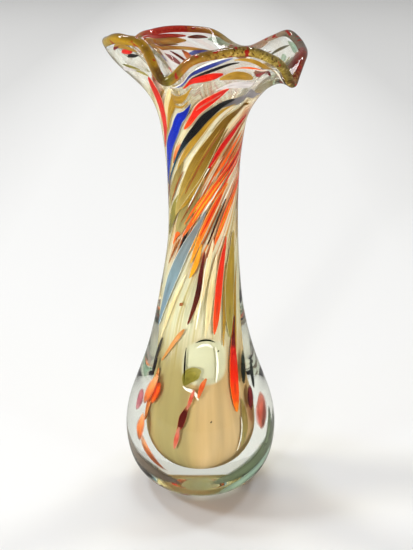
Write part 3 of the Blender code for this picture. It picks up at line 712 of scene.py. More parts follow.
# Painted shade: darker towards the very top of the bead.
painted_shade_top = add_node(tree, "ShaderNodeMapRange",
                    {"From Min": HEIGHT + 1.0 * MM, "From Max": HEIGHT + 2.2 * MM, "To Max": 0.6},
                    {"Value": split.outputs["Z"]})
low_edge = add_node(tree, "ShaderNodeMapRange",
                    {"From Min": HEIGHT - 0.4 * MM, "From Max": HEIGHT - 1.8 * MM},
                    {"Value": split.outputs["Z"]})
front_left = add_node(tree, "ShaderNodeValToRGB", links={0: moved.outputs[0]})
set_ramp(front_left, ((0.19, "#000000"), (0.205, "#d0d0d0"), (0.26, "#d0d0d0"), (0.29, "#000000")))
burnt = add_node(tree, "ShaderNodeMath", {"operation": "MULTIPLY"},
                 {0: low_edge.outputs[0], 1: front_left.outputs[0]})
patches = add_node(tree, "ShaderNodeTexNoise", {"Scale": 1 / (RED_PATCH_MM * MM), "Detail": 1.0},
                   {"Vector": place.outputs["Object"]})
red = add_node(tree, "ShaderNodeMapRange", {"From Min": 0.64, "From Max": 0.68},
               {"Value": patches.outputs[0]})
for stain, colour in ((painted_shade_top, "#3c2a10"), (burnt, "#c8481c"), (red, "#9c1c10")):
    tone = add_node(tree, "ShaderNodeMix", {"data_type": "RGBA", "B": linear(colour)},
                    {"Factor": stain.outputs[0], "A": tone}).outputs["Result"]
glass = opaque_glass(tree, tone, 0.35, 0.4)
tree.links.new(glass.outputs[0], out.inputs["Surface"])
lip_bead.data.materials.append(mottled)
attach(lip_bead, "root")

# The canes are soft glass rods, picked up on the hot bubble and marvered flat into it. The
# stretching and twisting of the neck drew each one out into a tapered blade.
CANE_DEPTH = 0.0012
CANE_SINK = 0.00012
CROWN_SHARE = 0.8
CANE_STEPS = 44
CANE_SIDES = 14
LEAST_HALF_MM = 0.2
END_HALF_MM = 0.15
FULL_DEPTH_HALF_MM = 1.2
GRAIN_MM = 3.846
LINES_PER_BLADE = (9, 2.5, 1)


def lay_cane(name, path, depth=CANE_DEPTH, lift=0.0):
    """Lay one drawn-out cane on the colour layer, or a lift outside it in the clear glass.

    The path lists azimuth in degrees, station and half-width in millimetres; the lift is one
    value or one for each row. The attributes along and across tell the colours where they are.
    """
    knots = np.arange(len(path), dtype=float)
    at = np.linspace(0, len(path) - 1, CANE_STEPS)
    azimuth = eased(at, knots, column(path, 0))
    station = eased(at, knots, column(path, 1)) * MM
    half = np.maximum(eased(at, knots, column(path, 2)), LEAST_HALF_MM) * MM
    half[0] = half[-1] = END_HALF_MM * MM
    rise = eased(at, knots, np.broadcast_to(lift, len(path)))[:, None]
    _, _, round_way, up_way = layer_frame(azimuth, station)
    per_deg = np.linalg.norm(round_way, axis=-1)
    per_up = np.linalg.norm(up_way, axis=-1)
    way_round = np.gradient(azimuth) * per_deg
    way_up = np.gradient(station) * per_up
    length = np.hypot(way_round, way_up)
    way_round, way_up = way_round / length, way_up / length
    turn = 2 * math.pi * np.arange(CANE_SIDES) / CANE_SIDES
    shift = np.cos(turn) * half[:, None]
    point, normal, _, _ = layer_frame(azimuth[:, None] - (way_up / per_deg)[:, None] * shift,
                                      station[:, None] + (way_round / per_up)[:, None] * shift)
    fat = np.minimum(half / (FULL_DEPTH_HALF_MM * MM), 1)[:, None]
    belly = np.minimum(np.sin(turn), 0) * depth * fat
    crown = np.maximum(np.sin(turn), 0) * CANE_SINK * CROWN_SHARE
    spots = (point + normal * (belly + crown - CANE_SINK + rise)[..., None]).reshape(-1, 3)
    along = np.repeat(at / (len(path) - 1), CANE_SIDES)
    across = np.tile(np.abs(np.cos(turn)), CANE_STEPS)
    faces = []
    for k in range(CANE_STEPS - 1):
        for i in range(CANE_SIDES):
            j = (i + 1) % CANE_SIDES
            low = k * CANE_SIDES
            faces.append((low + i, low + j, low + j + CANE_SIDES, low + i + CANE_SIDES))
    faces.append(tuple(range(CANE_SIDES)))
    faces.append(tuple(range((CANE_STEPS - 1) * CANE_SIDES, CANE_STEPS * CANE_SIDES)))
    mesh = bpy.data.meshes.new(name)
    mesh.from_pydata([tuple(spot) for spot in spots], [], faces)
    mesh.attributes.new("along", "FLOAT", "POINT").data.foreach_set("value", along)
    mesh.attributes.new("across", "FLOAT", "POINT").data.foreach_set("value", across)
    shape = bmesh.new()
    shape.from_mesh(mesh)
    bmesh.ops.recalc_face_normals(shape, faces=shape.faces)
    shape.to_mesh(mesh)
    shape.free()
    mesh.polygons.foreach_set("use_smooth", [True] * len(mesh.polygons))
    piece = bpy.data.objects.new(name, mesh)
    bpy.context.scene.collection.objects.link(piece)
    return piece


def cane_glass(name, stops, edge, clearness=0.0, clouded=False):
    """Opaque soft glass, drawn into a blade: colours along it, and a paler colour at its edges, a painted
    highlight.

    The colours wander a little, and fine lines run along the blade. A clouded one thins out into
    the clear glass towards its edges and ends.
    """
    material, tree, out = new_material(name)
    along = add_node(tree, "ShaderNodeAttribute", {"attribute_name": "along"})
    across = add_node(tree, "ShaderNodeAttribute", {"attribute_name": "across"})
    place = add_node(tree, "ShaderNodeTexCoord")
    grain = add_node(tree, "ShaderNodeTexNoise", {"Scale": 1 / (GRAIN_MM * MM), "Detail": 3.0},
                     {"Vector": place.outputs["Object"]})
    wander = add_node(tree, "ShaderNodeMath", {"operation": "MULTIPLY_ADD", 1: 0.22, 2: -0.11},
                      {0: grain.outputs[0]})
    moved = add_node(tree, "ShaderNodeMath", {"operation": "ADD"},
                     {0: along.outputs["Fac"], 1: wander.outputs[0]})
    core = add_node(tree, "ShaderNodeValToRGB", links={0: moved.outputs[0]})
    set_ramp(core, stops)
    flat = add_node(tree, "ShaderNodeCombineXYZ",
                    links={"X": across.outputs["Fac"], "Y": along.outputs["Fac"]})
    drawn = add_node(tree, "ShaderNodeMapping", {"Scale": LINES_PER_BLADE}, {"Vector": flat.outputs[0]})
    lines = add_node(tree, "ShaderNodeTexNoise", {"Scale": 1.0, "Detail": 3.0}, {"Vector": drawn.outputs[0]})
    shade = add_node(tree, "ShaderNodeMapRange",
                     {"From Min": 0.35, "From Max": 0.65, "To Min": 0.72, "To Max": 1.2},
                     {"Value": lines.outputs[0]})
    lined = add_node(tree, "ShaderNodeVectorMath", {"operation": "SCALE"},
                     {0: core.outputs[0], "Scale": shade.outputs[0]})
    # Painted highlight: the edge colour along the blade's edges.
    rim = add_node(tree, "ShaderNodeMapRange",
                   {"From Min": 0.84, "From Max": 0.98, "interpolation_type": "SMOOTHSTEP"},
                   {"Value": across.outputs["Fac"]})
    tone = add_node(tree, "ShaderNodeMix", {"data_type": "RGBA", "B": linear(edge)},
                    {"Factor": rim.outputs[0], "A": lined.outputs[0]})
    glass = opaque_glass(tree, tone.outputs["Result"], 0.4, 0.35)
    if clouded:
        thin = add_node(tree, "ShaderNodeMapRange",
                        {"From Min": 0.3, "From Max": 0.97, "To Min": clearness,
                         "interpolation_type": "SMOOTHSTEP"},
                        {"Value": across.outputs["Fac"]})
        middle = add_node(tree, "ShaderNodeMath", {"operation": "SUBTRACT", 1: 0.5}, {0: moved.outputs[0]})
        apart = add_node(tree, "ShaderNodeMath", {"operation": "ABSOLUTE"}, {0: middle.outputs[0]})
        ends = add_node(tree, "ShaderNodeMapRange", {"From Min": 0.26, "From Max": 0.47},
                        {"Value": apart.outputs[0]})
        faded = add_node(tree, "ShaderNodeMath", {"operation": "MAXIMUM"},
                         {0: thin.outputs[0], 1: ends.outputs[0]})
        pale = add_node(tree, "ShaderNodeMix", {"data_type": "RGBA", "B": linear("#ffffff")},
                        {"Factor": faded.outputs[0], "A": tone.outputs["Result"]})
        gap = add_node(tree, "ShaderNodeBsdfTransparent", links={"Color": pale.outputs["Result"]})
        glass = add_node(tree, "ShaderNodeMixShader",
                         links={0: faded.outputs[0], 1: glass.outputs[0], 2: gap.outputs[0]})
    elif clearness > 0:
        gap = add_node(tree, "ShaderNodeBsdfTransparent", links={"Color": tone.outputs["Result"]})
        glass = add_node(tree, "ShaderNodeMixShader", {0: clearness},
                         {1: glass.outputs[0], 2: gap.outputs[0]})
    tree.links.new(glass.outputs[0], out.inputs["Surface"])
    return material


# Each cane's name, slot, path, colours along it, colour of its edges (a painted highlight), and clearness.
CANES = (
    ("scarlet_edge_cane", "scarlet", ((-84, 236, 0.5), (-74, 244, 1.6), (-67, 251, 2.4), (-62, 258, 2.7),
                                      (-58, 265, 2.5), (-55, 272, 1.6), (-52, 278, 0.5)),
     ((0.0, "#c41c0e"), (0.4, "#d02210"), (1.0, "#c41e0c")), "#e88068", 0.0),
    ("royal_blue_cane", "royal_blue", ((-96, 211, 0.6), (-84, 223, 1.9), (-69, 235.5, 2.9),
                                       (-49, 246.5, 2.9), (-32, 256.4, 2.2), (-21, 263.4, 1.3),
                                       (-14, 268.6, 0.4)),
     ((0.0, "#0c3090"), (0.3, "#0426b4"), (0.7, "#0422ac"), (1.0, "#0c1c6c")), "#6c88d0", 0.0),
    ("flame_red_cane", "scarlet", ((-28, 250.5, 0.5), (-19, 255.4, 1.6), (-8, 261.5, 2.7), (4, 268, 3.4),
                                   (14, 273.5, 2.8), (22, 277.5, 0.6)),
     ((0.0, "#e85a14"), (0.3, "#dc200d"), (0.8, "#cc180e"), (1.0, "#d02c16")), "#f8b090", 0.0),
    ("black_cane", "black", ((-88, 211, 0.5), (-66, 223, 0.6), (-46, 234, 0.8), (-30, 242, 1.5),
                             (-12, 250.6, 2.3), (5, 258.4, 2.7), (20, 264.8, 2.1), (34, 270, 0.6)),
     ((0.0, "#1c6080"), (0.36, "#0c2838"), (0.48, "#010101"), (0.85, "#010101"), (1.0, "#24242a")),
     "#584c3c", 0.0),
    ("olive_sash_cane", "olive", ((-64, 195, 0.6), (-42, 208.5, 3.0), (-22, 220.4, 4.6),
                                  (-3, 232.2, 5.0), (14, 243, 4.0), (32, 254.6, 2.7), (48, 262, 1.7),
                                  (62, 267.6, 0.6)),
     ((0.0, "#b8a45c"), (0.25, "#9c8030"), (0.5, "#84600c"), (0.8, "#745208"), (1.0, "#64420a")),
     "#dccc94", 0.05),
    ("crimson_cane", "crimson", ((9, 226.8, 0.5), (17, 231.4, 0.9), (27, 237.4, 1.5), (39, 243.4, 1.8),
                                 (51, 248.6, 1.6), (65, 255, 1.3), (80, 262, 0.5)),
     ((0.0, "#c01008"), (0.5, "#cc0c06"), (1.0, "#9c0c08")), "#e89070", 0.0),
    ("vermilion_cane", "vermilion", ((-44, 182, 0.5), (-26, 191, 1.2), (-8, 200, 1.5), (10, 209, 1.8),
                                     (28, 217, 2.1), (46, 223.6, 2.1), (66, 230.5, 2.0), (90, 239, 1.8),
                                     (116, 249, 1.4), (140, 259, 0.6)),
     ((0.0, "#d8601c"), (0.3, "#e85c14"), (0.6, "#e8380f"), (1.0, "#b02410")), "#f4c078", 0.0),
    ("slate_blue_cane", "slate_blue", ((-98, 114, 0.6), (-84, 131, 2.5), (-70, 147.5, 4.0),
                                       (-55, 161, 3.8), (-40, 172.3, 3.0), (-25, 182, 2.2),
                                       (-10, 191, 1.4), (5, 200, 0.5)),
     ((0.0, "#7c98b0"), (0.4, "#8098a4"), (0.8, "#7c8084"), (1.0, "#8c98a0")), "#e4ecec", 0.1),
    ("amber_cane", "amber", ((-24, 166, 0.5), (-12, 178, 1.3), (1, 188.5, 1.7), (14, 197.6, 1.8),
                             (27, 205.4, 1.6), (40, 212, 0.9), (50, 216, 0.5)),
     ((0.0, "#e0a028"), (0.35, "#e87018"), (0.7, "#e05414"), (1.0, "#e08a20")), "#f8d070", 0.0),
    ("umber_thread_cane", "umber", ((8, 178.5, 0.45), (20, 188, 0.6), (32, 197, 0.6), (47, 206.5, 0.45)),
     ((0.0, "#381008"), (0.5, "#2c0c08"), (1.0, "#481c10")), "#481c10", 0.0),
    ("ember_cane", "vermilion", ((22, 178, 0.5), (34, 187, 1.3), (48, 196.6, 1.8), (64, 204.6, 1.8),
                                 (84, 213, 1.6), (106, 223, 1.2), (126, 234, 0.5)),
     ((0.0, "#e86820"), (0.5, "#e84c10"), (1.0, "#c03810")), "#f4b070", 0.0),
    ("maroon_blade", "maroon", ((-22, 125, 0.5), (-15, 133, 1.0), (-9, 141, 1.4), (-4.5, 150, 1.5),
                                (-2.5, 159, 1.2), (0, 167, 0.8), (3, 174, 0.4)),
     ((0.0, "#6c2410"), (0.5, "#3c0806"), (1.0, "#6c1810")), "#7c2a14", 0.0),
    ("apricot_tail_cane", "amber", ((-72, 93, 0.5), (-58, 103, 0.9), (-46, 111, 1.2), (-36, 117, 1.2),
                                    (-28, 121.5, 0.5)),
     ((0.0, "#d09048"), (0.5, "#d89a58"), (1.0, "#c88440")), "#d0a468", 0.1),
    ("poppy_blade", "scarlet", ((24, 118, 0.5), (28, 127, 1.7), (31.5, 138, 2.2), (34, 150, 2.3),
                                (37, 160, 2.1), (41, 169, 1.6), (46, 177, 0.9), (49, 182, 0.4)),
     ((0.0, "#e85a1c"), (0.35, "#e4300a"), (0.8, "#d82408"), (1.0, "#dc4c18")), "#f8b088", 0.0),
    ("olive_blade", "olive", ((56, 112, 0.6), (58, 126, 3.0), (60, 142, 4.0), (63, 158, 3.8),
                              (67, 172, 2.4), (71, 184, 0.5)),
     ((0.0, "#a89a4c"), (0.5, "#a88a28"), (1.0, "#b0943c")), "#e0d8a8", 0.1),
    ("garnet_blade", "garnet", ((52, 59, 0.6), (54, 68, 2.4), (56, 78, 3.2), (58, 90, 3.2),
                                (60, 101, 2.5), (63, 110, 1.7), (67, 118, 1.0), (71, 126, 0.5)),
     ((0.0, "#f49428"), (0.15, "#f05410"), (0.35, "#e8280a"), (0.58, "#d41c08"), (0.68, "#6c100a"),
      (1.0, "#3c0c08")), "#f07020", 0.0),
    ("oxblood_fleck", "maroon", ((-30, 49, 0.5), (-26, 54, 1.6), (-23.5, 60, 2.0), (-20, 65, 1.3),
                                 (-16, 70, 0.5)),
     ((0.0, "#d88a5c"), (0.25, "#5c1c16"), (0.7, "#4c1410"), (1.0, "#d0805a")), "#a04a34", 0.0),
    ("coral_fleck", "vermilion", ((-3, 74, 0.5), (0, 79, 1.2), (4, 84, 1.4), (9, 88, 0.5)),
     ((0.0, "#d8804c"), (0.5, "#d8582a"), (1.0, "#d88850")), "#d88050", 0.1),
    ("copper_blade", "amber", ((-92, 42, 0.6), (-90, 52, 1.9), (-87, 64, 2.3), (-83, 76, 1.7),
                               (-78, 86, 0.6)),
     ((0.0, "#d89048"), (0.5, "#cc7030"), (1.0, "#d08a4a")), "#d8a05c", 0.0),
    ("soot_thread_cane", "black", ((-104, 78, 0.5), (-94, 91, 1.0), (-85, 101, 1.0), (-77, 109, 0.45)),
     ((0.0, "#3c3632"), (0.5, "#22201e"), (1.0, "#3c3632")), "#4c4640", 0.0),
)

for name, slot, path, stops, edge, clearness in CANES:
    blade = lay_cane("drawn_" + name, path)
    blade.data.materials.append(cane_glass("soft_glass_of_" + name, stops, edge, clearness))
    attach(blade, "root")
    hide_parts(name)

# Finer streaks drawn from the ends and edges of the canes. They fill the neck between the canes, and in the
# flare they spread into patches that show from both sides. A few are painted light instead: a window
# reflection with its highlights in the bulb, a grey painted shade high on the neck, and pearl highlights in
# the flare.
STREAK_DEPTH = 0.0006
STREAK_LIFT = -0.0003
# Each glass's colours along a streak, the colour of its edges (a painted highlight), and its clearness.
FINE_GLASSES = {
    "gold": (((0.0, "#c8a040"), (0.5, "#a8801c"), (1.0, "#b8923c")), "#c8a858", 0.1),
    "sash_brown": (((0.0, "#b09448"), (0.4, "#7c5c10"), (0.7, "#6c4c0c"), (1.0, "#94783c")),
                  "#a08438", 0.05),
    "olive_veil": (((0.0, "#8c8438"), (0.5, "#a09640"), (1.0, "#c0b870")), "#c4bc78", 0.35),
    "honey": (((0.0, "#e8b020"), (0.5, "#e89818"), (1.0, "#e0a838")), "#e8b850", 0.0),
    "khaki": (((0.0, "#c0b47c"), (0.4, "#ac9c5c"), (0.8, "#a08848"), (1.0, "#b0a064")), "#ccc08c", 0.25),
    "tawny": (((0.0, "#a05c20"), (0.5, "#8c4814"), (1.0, "#a86a34")), "#b07c48", 0.0),
    "orange": (((0.0, "#e87820"), (0.5, "#e85c14"), (1.0, "#e07028")), "#e88c40", 0.0),
    "red": (((0.0, "#d02010"), (0.5, "#dc1c0c"), (1.0, "#c82414")), "#d84020", 0.0),
    "wine": (((0.0, "#7c1418"), (0.5, "#681014"), (1.0, "#8c2024")), "#8c2c2c", 0.0),
    "cherry": (((0.0, "#a81018"), (0.5, "#8c0c14"), (1.0, "#5c1018")), "#8c3038", 0.1),
    "garnet_red": (((0.0, "#8c2014"), (0.4, "#6c1410"), (0.8, "#8c2c14"), (1.0, "#c06020")),
                  "#7c4030", 0.15),
    "soot": (((0.0, "#241810"), (0.5, "#100c0c"), (1.0, "#241c18")), "#302420", 0.0),
    "ink_blue": (((0.0, "#5a68b8"), (0.4, "#2c3c9c"), (0.7, "#24348c"), (1.0, "#8088b8")), "#98a0d0", 0.1),
    "bright_blue": (((0.0, "#5c74d0"), (0.5, "#3050c0"), (1.0, "#6c88d8")), "#90a4e0", 0.25),
    "sea_green": (((0.0, "#c8dcd0"), (0.5, "#b4d0c4"), (1.0, "#d0e0d4")), "#d8e8dc", 0.3),
    # pearl is the glass of painted highlights.
    "pearl_painted_highlight": (((0.0, "#f0ecf0"), (0.5, "#e6e2e8"), (1.0, "#f4f0f2")), "#f8f4f6", 0.5),
    "milk": (((0.0, "#ffffff"), (1.0, "#fbfaf4")), "#f8f6ea", 0.2),
    "cream": (((0.0, "#f0e4c0"), (0.5, "#e8d8a8"), (1.0, "#f4ecd0")), "#f8f0d8", 0.2),
    "bottle_green": (((0.0, "#1c2c20"), (0.5, "#101c14"), (1.0, "#2c3c30")), "#3c4c3c", 0.2),
    "apricot": (((0.0, "#b06434"), (0.35, "#e8843c"), (0.7, "#ee9c5c"), (1.0, "#f4c8a0")), "#f8d8b8", 0.3),
    "smoke": (((0.0, "#8c8674"), (0.5, "#5c5648"), (1.0, "#7c7868")), "#a8a494", 0.35),
    # dusk, moss and mocha are glass for painted shade.
    "dusk_painted_shade": (((0.0, "#64646c"), (0.4, "#9c98a0"), (1.0, "#c4c0c8")), "#b8b4bc", 0.5),
    "moss_painted_shade": (((0.0, "#5c6458"), (0.4, "#6c7a60"), (0.7, "#78866c"), (1.0, "#9ca890")), "#a0ae94", 0.2),
    "mocha_painted_shadow": (((0.0, "#a8a49c"), (0.4, "#807468"), (0.7, "#6c6054"), (1.0, "#8c8478")), "#a8a094", 0.3),
    "salmon": (((0.0, "#e49880"), (0.5, "#d8644c"), (1.0, "#e49c88")), "#e8b4a0", 0.35),
    "back_gold": (((0.0, "#e0b850"), (0.5, "#d8a838"), (1.0, "#e8c870")), "#e8cc88", 0.45),
    "back_red": (((0.0, "#e83020"), (0.5, "#e02818"), (1.0, "#f05030")), "#e87050", 0.3),
    "rose": (((0.0, "#d8a0a8"), (0.5, "#b86878"), (1.0, "#c88088")), "#d8a8a8", 0.2),
}
fine_materials = {}


def lay_streak(name, glass, path, lift, clouded=False):
    """Lay one streak or wisp; those of the same glass share a material."""
    kind = "clouded_glass_" + glass if clouded else glass
    if kind not in fine_materials:
        fine_materials[kind] = cane_glass("soft_glass_streak_" + kind, *FINE_GLASSES[glass], clouded=clouded)
    streak = lay_cane(name, path, STREAK_DEPTH, lift)
    streak.data.materials.append(fine_materials[kind])
    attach(streak, "root")


